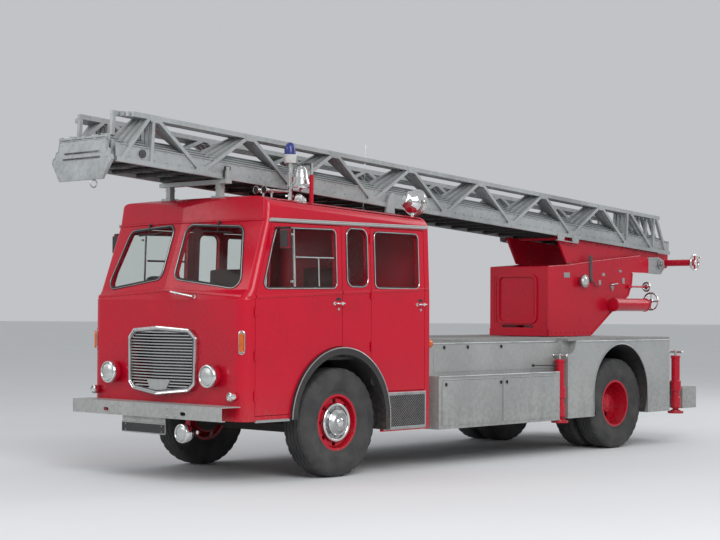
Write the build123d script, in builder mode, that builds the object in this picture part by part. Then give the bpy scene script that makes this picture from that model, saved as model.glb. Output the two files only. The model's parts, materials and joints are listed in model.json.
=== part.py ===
"""Turntable-ladder fire engine with a crew cab, four jacks and a four-section steel ladder.

Millimetres. +X is forward, +Y is the nearside (left), +Z is up, and the ground is z = 0.
"""
from build123d import *
from math import atan2, cos, degrees, hypot, radians, sin, tan
import os

os.makedirs("parts", exist_ok=True)

# Running gear
front_axle_x = 2364.5
wheelbase = 4750
tyre_diameter = 1050
tyre_width = 265
bead_radius = 262
bead_half_width = 90
front_tyre_y = 932
rear_outer_tyre_y = 947
twin_spacing = 312
king_pin_y = 760
spindle_radius = 36
running_clearance = 0.05
drum_radius = 190

# Chassis
rail_outer_y = 430
rail_flange = 70
rail_plate = 10
rail_bottom_z = 620
rail_top_z = 860

# Cab
cab_rear_back = 1290
cab_half_width = 1100
door_thickness = 40
cab_skirt_z = 408
cab_front_skirt_z = 588
waist_z = 1740
roof_line_z = 2440
roof_front_z = 2660
roof_rear_z = 2565
front_floor_z = 1160
rear_floor_z = 800
floor_plate = 30
arch_radius = 620
arch_centre_z = 560
arch_lip = 74
panel_gap = 6
glass_thickness = 6
glass_inset = 16

# Body behind the cab
body_front_back = 1392
body_rear_back = 5790
body_half_width = 1145
upper_panel_half_width = 1000
deck_top_z = 1300
deck_plate = 30
locker_bottom_z = 389
locker_top_z = 932
locker_rear_back = 3500
rear_body_front_back = 3660
rear_arch_radius = 566
rear_arch_centre_z = 660
step_rear_back = 6450
step_front_back = 6130

# Turntable and ladder
slew_back = 4700
ring_radius = 440
housing_half_width = 430
housing_plate = 14
pivot_back = 6714
pivot_z = 2220
pivot_pin_radius = 34
ladder_slope = 3.58
heel_back = 6974
heel_z = 2350
chord = 44

# Derived places
axle_z = tyre_diameter / 2
rear_axle_x = front_axle_x - wheelbase
rail_inner_y = rail_outer_y - rail_flange
cab_rear_x = front_axle_x - cab_rear_back
slew_x = front_axle_x - slew_back
body_rear_x = front_axle_x - body_rear_back
step_rear_x = front_axle_x - step_rear_back
sides = (("left", 1), ("right", -1))


def save(builder, name):
    """Label one finished piece and write it."""
    builder.part.label = name
    export_step(builder.part, f"parts/{name}.step")


def save_group(pieces, name):
    """Write several solids that touch but aren't fused as one piece."""
    group = Compound(children=list(pieces))
    group.label = name
    export_step(group, f"parts/{name}.step")


def side_plane(y):
    """A drawing plane facing +Y at a given y, with local x along X and local y up."""
    return Plane(origin=(0, y, 0), x_dir=(1, 0, 0), z_dir=(0, -1, 0))


def cross_plane(x):
    """A drawing plane facing +X, with local x along Y and local y up."""
    return Plane(origin=(x, 0, 0), x_dir=(0, 1, 0), z_dir=(1, 0, 0))


def axle_plane(x, y, side):
    """A drawing plane through an axle, local x outwards from the wheel's centre, local y up."""
    return Plane(origin=(x, y, axle_z), x_dir=(0, side, 0), z_dir=(side, 0, 0))


def block(x_range, y_range, z_range, mode=Mode.ADD):
    """A box between two limits on each axis, in the builder around it."""
    centre = [sum(span) / 2 for span in (x_range, y_range, z_range)]
    size = [abs(span[1] - span[0]) for span in (x_range, y_range, z_range)]
    with Locations(tuple(centre)):
        Box(*size, mode=mode)


# Wheels: profiles are (distance outboard of the tyre's centre, radius)
tyre_half = tyre_width / 2
tyre_profile = [
    (-bead_half_width, bead_radius),
    (-bead_half_width, bead_radius + 30),
    (-tyre_half, 0.39 * tyre_diameter),
    (-tyre_half + 30, tyre_diameter / 2),
]
tyre_profile += [(-across, radius) for across, radius in reversed(tyre_profile)]
flange = 10
rim_profile = [
    (-bead_half_width - flange, bead_radius - 12),
    (-bead_half_width - flange, bead_radius + 26),
    (-bead_half_width, bead_radius + 26),
    (-bead_half_width, bead_radius),
]
rim_profile += [(-across, radius) for across, radius in reversed(rim_profile)]
hub_bore = spindle_radius + running_clearance
spindle_reach = 40
front_disc_profile = [
    (-108, hub_bore), (-108, drum_radius), (-10, drum_radius), (-10, 150), (40, 150),
    (40, 230), (18, bead_radius - 6), (34, bead_radius - 6), (56, 230), (56, 176),
    (76, 166), (76, 118), (118, 108), (132, 80), (138, 0), (spindle_reach, 0),
    (spindle_reach, hub_bore),
]
rear_disc_profile = [
    (-470, hub_bore), (-470, drum_radius + 15), (-300, drum_radius + 15), (-300, 165),
    (-198, 165), (-198, 230), (-240, bead_radius - 6), (-222, bead_radius - 6),
    (-182, 230), (-182, 176), (-148, 176), (-148, 230), (-90, bead_radius - 6),
    (-72, bead_radius - 6), (-132, 230), (-132, 118), (-40, 108), (-24, 80),
    (-20, 0), (-60, 0), (-60, hub_bore),
]
hand_holes = 8
hand_hole_radius = 24
hand_hole_ring = 205


def revolved(profile, x, y, side):
    """Turn a (outboard, radius) profile round the axle line."""
    with BuildSketch(axle_plane(x, y, side)) as section:
        with BuildLine():
            Polyline(*profile, close=True)
        make_face()
    revolve(section.sketch, axis=Axis((x, y, axle_z), (0, 1, 0)))


def hand_hole_cuts(x, y, side, depth):
    """Round hand holes through the flat of a wheel's disc, to a depth outboard of y."""
    plane = Plane(origin=(x, y, axle_z), x_dir=(1, 0, 0), z_dir=(0, side, 0))
    with BuildSketch(plane) as holes:
        with PolarLocations(hand_hole_ring, hand_holes):
            Circle(hand_hole_radius)
    extrude(holes.sketch, amount=depth, mode=Mode.SUBTRACT)


for name, side in sides:
    y = side * front_tyre_y
    with BuildPart() as tyre_front:
        revolved(tyre_profile, front_axle_x, y, side)
    save(tyre_front, f"tyre_front_{name}")

    with BuildPart() as wheel_front:
        revolved(rim_profile, front_axle_x, y, side)
        revolved(front_disc_profile, front_axle_x, y, side)
        hand_hole_cuts(front_axle_x, y, side, bead_half_width)
    save(wheel_front, f"wheel_front_{name}")

    y = side * rear_outer_tyre_y
    inner_y = y - side * twin_spacing
    with BuildPart() as tyres_rear:
        revolved(tyre_profile, rear_axle_x, y, side)
        revolved(tyre_profile, rear_axle_x, inner_y, side)
    save(tyres_rear, f"tyres_rear_{name}")

    with BuildPart() as wheels_rear:
        revolved(rim_profile, rear_axle_x, y, side)
        revolved(rim_profile, rear_axle_x, inner_y, side)
        revolved(rear_disc_profile, rear_axle_x, y, side)
        hand_hole_cuts(rear_axle_x, y, side, -250)
    save(wheels_rear, f"wheels_rear_{name}")

# Front axle: dropped beam, king-pin bosses, leaf springs with their shackles
beam_half_x = 36
beam_depth = 90
spring_y = 395
spring_half_length = 600
spring_width = 72
spring_thickness = 52
boss_radius = 42
boss_height = 120
king_pin_radius = 20
beam_low_z = 440
spring_seat_z = beam_low_z + beam_depth / 2


def leaf_spring(axle_x, y, half_length, seat_z, thickness):
    """One bowed pack of leaves, with a shackle at each end that reaches the rail."""
    with BuildSketch(side_plane(y + spring_width / 2)) as leaves:
        with BuildLine():
            end_z = rail_bottom_z - thickness - 12
            ThreePointArc((axle_x - half_length, end_z), (axle_x, seat_z),
                          (axle_x + half_length, end_z))
            Line((axle_x + half_length, end_z), (axle_x + half_length, end_z + thickness))
            ThreePointArc((axle_x + half_length, end_z + thickness), (axle_x, seat_z + thickness),
                          (axle_x - half_length, end_z + thickness))
            Line((axle_x - half_length, end_z + thickness), (axle_x - half_length, end_z))
        make_face()
    extrude(leaves.sketch, amount=spring_width)
    for direction in (-1, 1):
        end_x = axle_x + direction * half_length
        block((end_x - direction * 40, end_x), (y - spring_width / 2, y + spring_width / 2),
              (rail_bottom_z - thickness - 12, rail_bottom_z))


with BuildPart() as front_axle:
    boss_inner_y = king_pin_y - boss_radius + 8
    with BuildSketch(cross_plane(front_axle_x - beam_half_x)):
        with BuildLine():
            Polyline(
                (-boss_inner_y, axle_z + beam_depth / 2), (-boss_inner_y, axle_z - beam_depth / 2),
                (-spring_y - 110, beam_low_z - beam_depth / 2),
                (spring_y + 110, beam_low_z - beam_depth / 2),
                (boss_inner_y, axle_z - beam_depth / 2), (boss_inner_y, axle_z + beam_depth / 2),
                (spring_y + 70, spring_seat_z), (-spring_y - 70, spring_seat_z), close=True)
        make_face()
    extrude(amount=2 * beam_half_x)
    for side in (-1, 1):
        leaf_spring(front_axle_x, side * spring_y, spring_half_length, spring_seat_z,
                    spring_thickness)
        block((front_axle_x - 60, front_axle_x + 60),
              (side * (spring_y - 40), side * (spring_y + 40)),
              (spring_seat_z - 20, spring_seat_z + spring_thickness / 2))
        with Locations((front_axle_x, side * king_pin_y, axle_z)):
            Cylinder(boss_radius, boss_height)
            Cylinder(king_pin_radius + running_clearance, boss_height, mode=Mode.SUBTRACT)
save(front_axle, "front_axle")

# Steering knuckles: two ears and the king pin, a round backplate and the wheel spindle
ear_gap = 5
ear_height = 26
backplate_radius = 178
backplate_y = 810
backplate_thickness = 9
arm_reach = 190
for name, side in sides:
    with BuildPart() as knuckle:
        ear_z = boss_height / 2 + ear_gap + ear_height / 2
        for direction in (-1, 1):
            with Locations((front_axle_x, side * king_pin_y, axle_z + direction * ear_z)):
                Cylinder(boss_radius, ear_height)
            block((front_axle_x - boss_radius, front_axle_x + boss_radius),
                  (side * king_pin_y, side * backplate_y),
                  (axle_z + direction * (ear_z - ear_height / 2),
                   axle_z + direction * (ear_z + ear_height / 2)))
        with Locations((front_axle_x, side * king_pin_y, axle_z)):
            Cylinder(king_pin_radius, 2 * ear_z)
        with BuildSketch(Plane(origin=(front_axle_x, side * backplate_y, axle_z),
                               x_dir=(1, 0, 0), z_dir=(0, side, 0))):
            Circle(backplate_radius)
        extrude(amount=backplate_thickness)
        with BuildSketch(Plane(origin=(front_axle_x, side * backplate_y, axle_z),
                               x_dir=(1, 0, 0), z_dir=(0, side, 0))):
            Circle(spindle_radius)
        extrude(amount=front_tyre_y - backplate_y + spindle_reach - 4)
        block((front_axle_x - arm_reach, front_axle_x - boss_radius + 10),
              (side * (king_pin_y - 30), side * (king_pin_y + 12)),
              (axle_z - ear_z - 12, axle_z - ear_z + 12))
    save(knuckle, f"knuckle_{name}")

# Rear axle: banjo casing, brake backplates, fixed spindles and leaf springs
casing_radius = 70
banjo_radius = 190
rear_backplate_y = rear_outer_tyre_y - 486
rear_spring_y = 350
rear_spring_half_length = 680
rear_spring_thickness = 62
rear_seat_z = axle_z - casing_radius - 50
with BuildPart() as rear_axle:
    with BuildSketch(Plane(origin=(rear_axle_x, -rear_backplate_y, axle_z), x_dir=(1, 0, 0),
                           z_dir=(0, 1, 0))):
        Circle(casing_radius)
    extrude(amount=2 * rear_backplate_y)
    with BuildSketch(side_plane(110)):
        with Locations((rear_axle_x, axle_z)):
            Circle(banjo_radius)
    extrude(amount=220)
    with BuildSketch(cross_plane(rear_axle_x)):
        with Locations((0, axle_z)):
            Circle(95)
    extrude(amount=330, taper=10)
    for side in (-1, 1):
        plane = Plane(origin=(rear_axle_x, side * rear_backplate_y, axle_z), x_dir=(1, 0, 0),
                      z_dir=(0, side, 0))
        with BuildSketch(plane):
            Circle(drum_radius)
        extrude(amount=10)
        with BuildSketch(plane):
            Circle(spindle_radius)
        extrude(amount=rear_outer_tyre_y - rear_backplate_y - 64)
        leaf_spring(rear_axle_x, side * rear_spring_y, rear_spring_half_length,
                    rear_seat_z, rear_spring_thickness)
        block((rear_axle_x - 60, rear_axle_x + 60),
              (side * (rear_spring_y - 40), side * (rear_spring_y + 40)),
              (rear_seat_z + 20, axle_z))
save(rear_axle, "rear_axle")

# Chassis frame: two channel rails, front horns, cross-members and the jack beams
horn_front = 1500
horn_top_z = 722
horn_start = 1120
jack_front_back = 3580
jack_rear_back = 6020
jack_y = body_half_width - 57
jack_tube_radius = 52
jack_beam_half = 60
jack_beam_z = (650, 740)
with BuildPart() as chassis_frame:
    for side in (-1, 1):
        web = (side * (rail_outer_y - rail_plate), side * rail_outer_y)
        flanges = (side * rail_inner_y, side * rail_outer_y)
        rail_span = (front_axle_x - step_front_back, front_axle_x + horn_start)
        block(rail_span, web, (rail_bottom_z, rail_top_z))
        block(rail_span, flanges, (rail_bottom_z, rail_bottom_z + rail_plate))
        block(rail_span, flanges, (rail_top_z - rail_plate, rail_top_z))
        block((front_axle_x + horn_start, front_axle_x + horn_front), flanges,
              (rail_bottom_z, horn_top_z))
    for cross_x in (1000, -1230, -2200, -3200, -5500):
        block((front_axle_x + cross_x - 40, front_axle_x + cross_x + 40),
              (-rail_outer_y + rail_plate, rail_outer_y - rail_plate),
              (rail_top_z - 100, rail_top_z - rail_plate))
    for jack_back in (jack_front_back, jack_rear_back):
        block((front_axle_x - jack_back - jack_beam_half, front_axle_x - jack_back + jack_beam_half),
              (-jack_y, jack_y), jack_beam_z)
        for side in (-1, 1):
            with Locations((front_axle_x - jack_back, side * jack_y, sum(jack_beam_z) / 2)):
                Cylinder(jack_tube_radius, 200, mode=Mode.SUBTRACT)
save(chassis_frame, "chassis_frame")

# Engine and gearbox as one plain block, with the propeller shaft behind it
gearbox_back = 1150
with BuildPart() as engine:
    block((front_axle_x - 560, front_axle_x + 620), (-290, 290), (rail_bottom_z, 1300))
    block((front_axle_x - gearbox_back, front_axle_x - 560), (-170, 170),
          (rail_bottom_z + 30, rail_top_z - 10))
    with BuildSketch(cross_plane(rear_axle_x + 330)):
        with Locations((0, axle_z)):
            Circle(45)
    with BuildSketch(cross_plane(front_axle_x - gearbox_back)):
        with Locations((0, rail_bottom_z + 80)):
            Circle(45)
    loft()
save(engine, "engine_and_shaft")

# Jacks: fixed posts on the beams' ends, each with a foot on a screw
post_top_z = 1060
foot_rest_z = 356
foot_radius = 95
foot_height = 26
screw_radius = 30
screw_top_z = 900
handle_bar = 156
jack_posts_xy = [(front_axle_x - back, side * jack_y)
                 for back in (jack_front_back, jack_rear_back) for side in (1, -1)]
with BuildPart() as jack_posts:
    for x, y in jack_posts_xy:
        with BuildSketch(Plane(origin=(x, y, foot_rest_z + 60))):
            Circle(jack_tube_radius)
            Circle(screw_radius + running_clearance, mode=Mode.SUBTRACT)
        extrude(amount=screw_top_z - foot_rest_z - 20)
        with BuildSketch(Plane(origin=(x, y, screw_top_z + 40))):
            Circle(jack_tube_radius)
        extrude(amount=post_top_z - screw_top_z - 40)
        with Locations((x, y, post_top_z + 30)):
            Cylinder(16, 60)
        with Locations((x, y, post_top_z + 50)):
            Cylinder(12, handle_bar, rotation=(90, 0, 0))
save(jack_posts, "jack_posts")

jack_names = ("front_left", "front_right", "rear_left", "rear_right")
for name, (x, y) in zip(jack_names, jack_posts_xy):
    with BuildPart() as jack_foot:
        with BuildSketch(Plane(origin=(x, y, foot_rest_z))):
            Circle(foot_radius)
        extrude(amount=foot_height)
        with BuildSketch(Plane(origin=(x, y, foot_rest_z + foot_height))):
            Circle(screw_radius)
        extrude(amount=screw_top_z - foot_rest_z - foot_height)
    save(jack_foot, f"jack_foot_{name}")

# Cab form: plan sections, each (z, half width, corner x, nose ahead of the corner, corner radius)
screen_vee = 0.091
lean_top = 28
cab_sections = [
    (cab_skirt_z, cab_half_width, 1300, 4, 135),
    (1700, cab_half_width, 1300, 4, 135),
    (1790, cab_half_width - 2, 1208, screen_vee * (cab_half_width - 2), 70),
    (roof_line_z, cab_half_width - lean_top, 990, screen_vee * (cab_half_width - lean_top), 60),
]
roof_sections = [
    cab_sections[-1],
    (roof_front_z + 80, cab_half_width - 50, 960, screen_vee * (cab_half_width - 50), 70),
]


def cab_plan(section, inset):
    """One plan outline of the cab, drawn inset from its outer face."""
    z, half_width, corner_x, nose, radius = section
    corner = front_axle_x + corner_x - inset
    half = half_width - inset
    with BuildSketch(Plane.XY.offset(z)) as plan:
        with BuildLine():
            Polyline((cab_rear_x + inset, -half), (corner, -half), (corner + nose, 0),
                     (corner, half), (cab_rear_x + inset, half), close=True)
        make_face()
        corners = plan.vertices().filter_by(lambda v: abs(v.X - corner) < 1)
        fillet(corners, max(radius - inset, 20))
    return plan.sketch


def cab_solid(sections, inset):
    """The cab's outer form, or its form inset by a thickness."""
    with BuildPart() as form:
        for lower, upper in zip(sections, sections[1:]):
            loft([cab_plan(lower, inset), cab_plan(upper, inset)], ruled=True)
    return form.part


def side_wall(side, inset, thickness):
    """One flat side wall, leaning in above the waist, from the cab's rear to its front corner."""
    outer = [(section[1] - inset, section[0]) for section in cab_sections]
    inner = [(y - thickness, z) for y, z in reversed(outer)]
    with BuildPart() as slab:
        with BuildSketch(cross_plane(cab_rear_x + door_thickness)) as profile:
            with BuildLine():
                Polyline(*[(side * y, z) for y, z in outer + inner], close=True)
            make_face()
        extrude(amount=front_axle_x + 1165 - cab_rear_x - door_thickness)
    return slab.part


cab_outside = cab_solid(cab_sections, 0)
cab_inside = cab_solid(cab_sections, door_thickness)
front_wall = cab_outside - cab_inside
screen_pane = (cab_solid(cab_sections[2:], glass_inset)
               - cab_solid(cab_sections[2:], glass_inset + glass_thickness))

# Openings in the cab's side, as (x from the front axle, z) corners, and their corner radius
front_door_outline = [(1160, 640), (1160, waist_z), (932, 2412), (8, 2412), (8, 640)]
rear_door_outline = [(-410, 808), (-410, 2412), (-1212, 2412), (-1212, 808)]
front_window = ([(1062, 1808), (880, 2362), (94, 2372), (94, 1822)], 45)
narrow_window = ([(-70, 1840), (-70, 2392), (-352, 2392), (-352, 1840)], 75)
rear_window = ([(-470, 1832), (-470, 2372), (-1118, 2372), (-1118, 1832)], 45)
windscreen = ([(95, 1902), (95, 2408), (800, 2372), (955, 1800)], 80)


def outline_sketch(points, radius, plane, grow=0):
    """A rounded outline drawn on a plane, its x counted from the front axle."""
    with BuildSketch(plane) as sketch:
        with BuildLine():
            Polyline(*points, close=True)
        make_face()
        if radius:
            fillet(sketch.vertices(), radius)
        if grow:
            offset(amount=grow)
    return sketch.sketch


side_cut_depth = 130


def side_start(side):
    """Where a cut through one side wall starts; it runs towards -Y by side_cut_depth."""
    return cab_half_width + 20 if side > 0 else side_cut_depth - cab_half_width - 20


def side_prism(points, side, radius=0, grow=0):
    """A side outline extruded through one of the cab's side walls."""
    placed = [(front_axle_x + x, z) for x, z in points]
    with BuildPart() as prism:
        extrude(outline_sketch(placed, radius, side_plane(side_start(side)), grow),
                amount=side_cut_depth)
    return prism.part


def arch_prism(side, radius):
    """The front wheel arch as a cylinder through one side wall."""
    with BuildPart() as prism:
        with BuildSketch(side_plane(side_start(side))):
            with Locations((front_axle_x + 20, arch_centre_z)):
                Circle(radius)
        extrude(amount=side_cut_depth)
    return prism.part


def screen_prism(side, grow=0):
    """A windscreen opening extruded forwards through the front wall."""
    points, radius = windscreen
    placed = [(side * y, z) for y, z in points]
    with BuildPart() as prism:
        extrude(outline_sketch(placed, radius, cross_plane(front_axle_x + 780), grow),
                amount=600)
    return prism.part


front_split = [(1165, cab_front_skirt_z), (1165, waist_z), (937, 2412),
               (937, roof_line_z + 10)]
cab_front_outline = front_split + [(1400, roof_line_z + 10), (1400, cab_front_skirt_z)]


def across_prism(points, half_width):
    """A side outline extruded across the whole cab."""
    placed = [(front_axle_x + x, z) for x, z in points]
    with BuildPart() as prism:
        extrude(outline_sketch(placed, 0, side_plane(half_width)), amount=2 * half_width)
    return prism.part


front_region = across_prism(cab_front_outline, cab_half_width + 50)
# Mirrors: an arm from the front door's upper corner and a flat head hung on it
mirror_arm_x = (front_axle_x + 880, front_axle_x + 896)
mirror_arm_y = (1062, 1262)
mirror_head_x = (front_axle_x + 888, front_axle_x + 914)
for name, side in sides:
    y_band = (side * 700, side * (cab_half_width + 50))
    doors = (
        ("front", front_door_outline, front_window),
        ("rear", rear_door_outline, rear_window),
    )
    # Side frame: pillars, sills and the wheel arch, with the narrow fixed window
    with BuildPart() as cab_side:
        add(side_wall(side, 0, door_thickness))
        add(front_region, mode=Mode.SUBTRACT)
        for door_name, outline, window in doors:
            door_cut = side_prism(outline, side, grow=panel_gap)
            add(door_cut - arch_prism(side, arch_radius + arch_lip), mode=Mode.SUBTRACT)
        add(side_prism(narrow_window[0], side, narrow_window[1]), mode=Mode.SUBTRACT)
        add(arch_prism(side, arch_radius), mode=Mode.SUBTRACT)
        block((front_axle_x + 300, front_axle_x + 1300), y_band, (0, cab_front_skirt_z),
              mode=Mode.SUBTRACT)
    save(cab_side, f"cab_side_{name}")

    for door_name, outline, window in doors:
        with BuildPart() as door:
            add(side_wall(side, 0, door_thickness))
            add(side_prism(outline, side), mode=Mode.INTERSECT)
            add(side_prism(window[0], side, window[1]), mode=Mode.SUBTRACT)
            add(arch_prism(side, arch_radius + arch_lip + panel_gap), mode=Mode.SUBTRACT)
            if door_name == "front":
                block(mirror_arm_x, (side * mirror_arm_y[0], side * mirror_arm_y[1]), (2352, 2368))
                block(mirror_arm_x, (side * (mirror_arm_y[1] - 16), side * mirror_arm_y[1]),
                      (2290, 2368))
                block(mirror_head_x, (side * (mirror_arm_y[1] - 104), side * (mirror_arm_y[1] + 8)),
                      (2175, 2345))
        save(door, f"door_{door_name}_{name}")

        with BuildPart() as door_glass:
            add(side_wall(side, glass_inset, glass_thickness))
            add(side_prism(window[0], side, window[1]), mode=Mode.INTERSECT)
        save(door_glass, f"glass_{door_name}_{name}")

# Wheel arch flares: a flat band round each front arch, proud of the panel
flare_proud = 30
flare_width = 72
with BuildPart() as arch_flares:
    for side in (-1, 1):
        start = cab_half_width + flare_proud if side > 0 else -cab_half_width
        with BuildSketch(side_plane(start)) as band:
            with Locations((front_axle_x + 20, arch_centre_z)):
                Circle(arch_radius + flare_width)
            with Locations((front_axle_x - arch_radius - flare_width / 2 + 20, 510)):
                Rectangle(flare_width, 160)
            with Locations((front_axle_x + 20, arch_centre_z)):
                Circle(arch_radius, mode=Mode.SUBTRACT)
            with Locations((front_axle_x + 20, arch_centre_z - 300)):
                Rectangle(2 * arch_radius, 600, mode=Mode.SUBTRACT)
            with Locations((front_axle_x + 700, cab_front_skirt_z - 300)):
                Rectangle(500, 600, mode=Mode.SUBTRACT)
            with Locations((front_axle_x, 80)):
                Rectangle(2000, 700, mode=Mode.SUBTRACT)
        extrude(band.sketch, amount=flare_proud)
save(arch_flares, "arch_flares")

# Grille: a pointed outline of (y, z), a surround and level slats, all in a shallow V plan
grille_outline = [(0, 1450), (395, 1425), (490, 1345), (478, 905), (400, 838), (0, 797)]
grille_outline += [(-y, z) for y, z in grille_outline[-2:0:-1]]
grille_band = 46
grille_radius = 40
grille_base_x = front_axle_x + 1300
grille_nose = 96
grille_edge = 26
slat_count = 20
slat_thickness = 11
slat_depth = 26


def grille_prism(shrink, start_x, depth):
    """The grille's outline as a prism along X."""
    with BuildPart() as prism:
        with BuildSketch(cross_plane(start_x)) as face:
            with BuildLine():
                Polyline(*grille_outline, close=True)
            make_face()
            fillet(face.vertices().filter_by(lambda v: abs(v.X) > 100), grille_radius)
            if shrink:
                offset(amount=-shrink)
        extrude(amount=depth)
    return prism.part


def vee_plan(back_x, nose, edge, z_range):
    """A prism with a V-shaped front, from a flat back at back_x."""
    half = 520
    with BuildPart() as wedge:
        with BuildSketch(Plane.XY.offset(z_range[0])):
            with BuildLine():
                Polyline((back_x, -half), (grille_base_x + edge, -half), (grille_base_x + nose, 0),
                         (grille_base_x + edge, half), (back_x, half), close=True)
            make_face()
        extrude(amount=z_range[1] - z_range[0])
    return wedge.part


# Cab front: the curved front panel and its V-plan windscreen frame
with BuildPart() as cab_front:
    add(front_wall)
    add(front_region, mode=Mode.INTERSECT)
    for side in (-1, 1):
        add(screen_prism(side), mode=Mode.SUBTRACT)
        block((front_axle_x + 1150, front_axle_x + 1400),
              (side * (rail_inner_y - 8), side * (rail_outer_y + 8)), (500, horn_top_z + 8),
              mode=Mode.SUBTRACT)
    add(grille_prism(grille_band - 6, front_axle_x + 1200, 200), mode=Mode.SUBTRACT)
save(cab_front, "cab_front")

with BuildPart() as grille:
    slat_zone = grille_prism(grille_band - 4, grille_base_x - 60, 300)
    add(vee_plan(grille_base_x + 6, grille_nose, grille_edge, (700, 1500)))
    add(grille_prism(0, grille_base_x - 60, 300), mode=Mode.INTERSECT)
    add(grille_prism(grille_band, grille_base_x - 60, 300), mode=Mode.SUBTRACT)
    low_z, high_z = grille_outline[5][1] + grille_band, grille_outline[0][1] - grille_band
    pitch = (high_z - low_z) / slat_count
    for index in range(slat_count):
        z = low_z + (index + 0.5) * pitch
        z_range = (z - slat_thickness / 2, z + slat_thickness / 2)
        slat = vee_plan(grille_base_x - 60, grille_nose - 12, grille_edge - 12, z_range)
        slat -= vee_plan(grille_base_x - 100, grille_nose - 12 - slat_depth,
                         grille_edge - 12 - slat_depth, (z - 50, z + 50))
        add(slat & slat_zone)
save(grille, "grille")

# Cab back wall, between the side frames
with BuildPart() as cab_back:
    with BuildSketch(cross_plane(cab_rear_x)):
        with BuildLine():
            edge = [(section[1], section[0]) for section in cab_sections]
            Polyline(*edge, *[(-y, z) for y, z in reversed(edge)], close=True)
        make_face()
    extrude(amount=door_thickness)
    block((cab_rear_x - 1, cab_rear_x + door_thickness + 1), (-rail_outer_y - 8, rail_outer_y + 8),
          (cab_skirt_z - 1, rail_top_z), mode=Mode.SUBTRACT)
save(cab_back, "cab_back")


roof_shoulder = 150
roof_brow = 170
roof_heel = 80
roof_crown = 18


def roof_form(inset):
    """The roof's outer or inner form: plan, side profile and cross profile intersected."""
    slope = (roof_front_z - roof_rear_z) / (950 + cab_rear_back)
    brow_x = front_axle_x + 950
    top_z = roof_front_z - inset
    half = cab_half_width - 22 - inset
    shoulder = roof_shoulder - inset
    along = Vector(1, 0, slope).normalized()
    with BuildPart() as lengthwise:
        with BuildSketch(side_plane(cab_half_width)) as profile:
            with BuildLine():
                front_x = front_axle_x + sum(roof_sections[0][2:4]) - inset
                Polyline((cab_rear_x + inset, roof_line_z - 50),
                         (cab_rear_x + inset, top_z - slope * (brow_x - cab_rear_x) + roof_crown),
                         (front_x, top_z + roof_crown + slope * (front_x - brow_x)),
                         (front_x, roof_line_z - 50), close=True)
            make_face()
            upper = profile.vertices().filter_by(lambda v: v.Y > roof_line_z).sort_by(Axis.X)
            fillet(upper[-1], roof_brow - inset)
            fillet(upper[0], roof_heel - inset)
        extrude(amount=2 * cab_half_width)
    with BuildPart() as crosswise:
        tail = Vector(brow_x, 0, top_z) - along * 3000
        with BuildSketch(Plane(origin=tail, x_dir=(0, 1, 0), z_dir=along)):
            with BuildLine():
                corner = shoulder * (1 - cos(radians(45)))
                Line((-half, -600), (-half, -shoulder))
                ThreePointArc((-half, -shoulder), (-half + corner, -corner),
                              (-half + shoulder, 0))
                ThreePointArc((-half + shoulder, 0), (0, roof_crown), (half - shoulder, 0))
                ThreePointArc((half - shoulder, 0), (half - corner, -corner), (half, -shoulder))
                Line((half, -shoulder), (half, -600))
                Line((half, -600), (-half, -600))
            make_face()
        extrude(amount=4000)
    return cab_solid(roof_sections, inset) & lengthwise.part & crosswise.part


# Roof: one domed panel, rounded all round, hollow underneath
roof_outer = roof_form(0)
roof_hollow = roof_form(door_thickness)
with BuildPart() as cab_roof:
    add(roof_outer)
    add(roof_hollow, mode=Mode.SUBTRACT)
save(cab_roof, "cab_roof")

# Fixed glass: two flat windscreens and the narrow side windows
with BuildPart() as cab_glass:
    for side in (-1, 1):
        add(screen_pane & screen_prism(side))
        add(side_wall(side, glass_inset, glass_thickness)
            & side_prism(narrow_window[0], side, narrow_window[1]))
save(cab_glass, "cab_glass")

# Cab floor: high over the wheels, a riser, low footwells behind them, and the engine cowl
floor_half = cab_half_width - door_thickness
floor_front_x = front_axle_x + 1120
step_x = front_axle_x - 640
cowl_half = 350
cowl_top_z = 1400
tunnel_half = rail_outer_y + 20
with BuildPart() as cab_floor:
    block((step_x, floor_front_x), (-floor_half, floor_half),
          (front_floor_z - floor_plate, front_floor_z))
    block((step_x - floor_plate, step_x), (-floor_half, floor_half),
          (rear_floor_z - floor_plate, front_floor_z))
    block((cab_rear_x + door_thickness, step_x - floor_plate), (-floor_half, floor_half),
          (rear_floor_z - floor_plate, rail_top_z + floor_plate))
    for side in (-1, 1):
        block((cab_rear_x + door_thickness, step_x - floor_plate),
              (side * (tunnel_half + floor_plate), side * floor_half),
              (rear_floor_z, rail_top_z + floor_plate), mode=Mode.SUBTRACT)
    block((cab_rear_x + door_thickness, step_x), (-tunnel_half, tunnel_half),
          (rear_floor_z - floor_plate, rail_top_z), mode=Mode.SUBTRACT)
    block((front_axle_x - 620, front_axle_x + 700), (-cowl_half, cowl_half),
          (front_floor_z, cowl_top_z))
    block((front_axle_x - 620 + floor_plate, front_axle_x + 700 - floor_plate),
          (-cowl_half + floor_plate, cowl_half - floor_plate),
          (front_floor_z - floor_plate, cowl_top_z - floor_plate), mode=Mode.SUBTRACT)
    block((front_axle_x + 1030, floor_front_x), (-380, 380),
          (front_floor_z - floor_plate, front_floor_z), mode=Mode.SUBTRACT)
save(cab_floor, "cab_floor")

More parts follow.
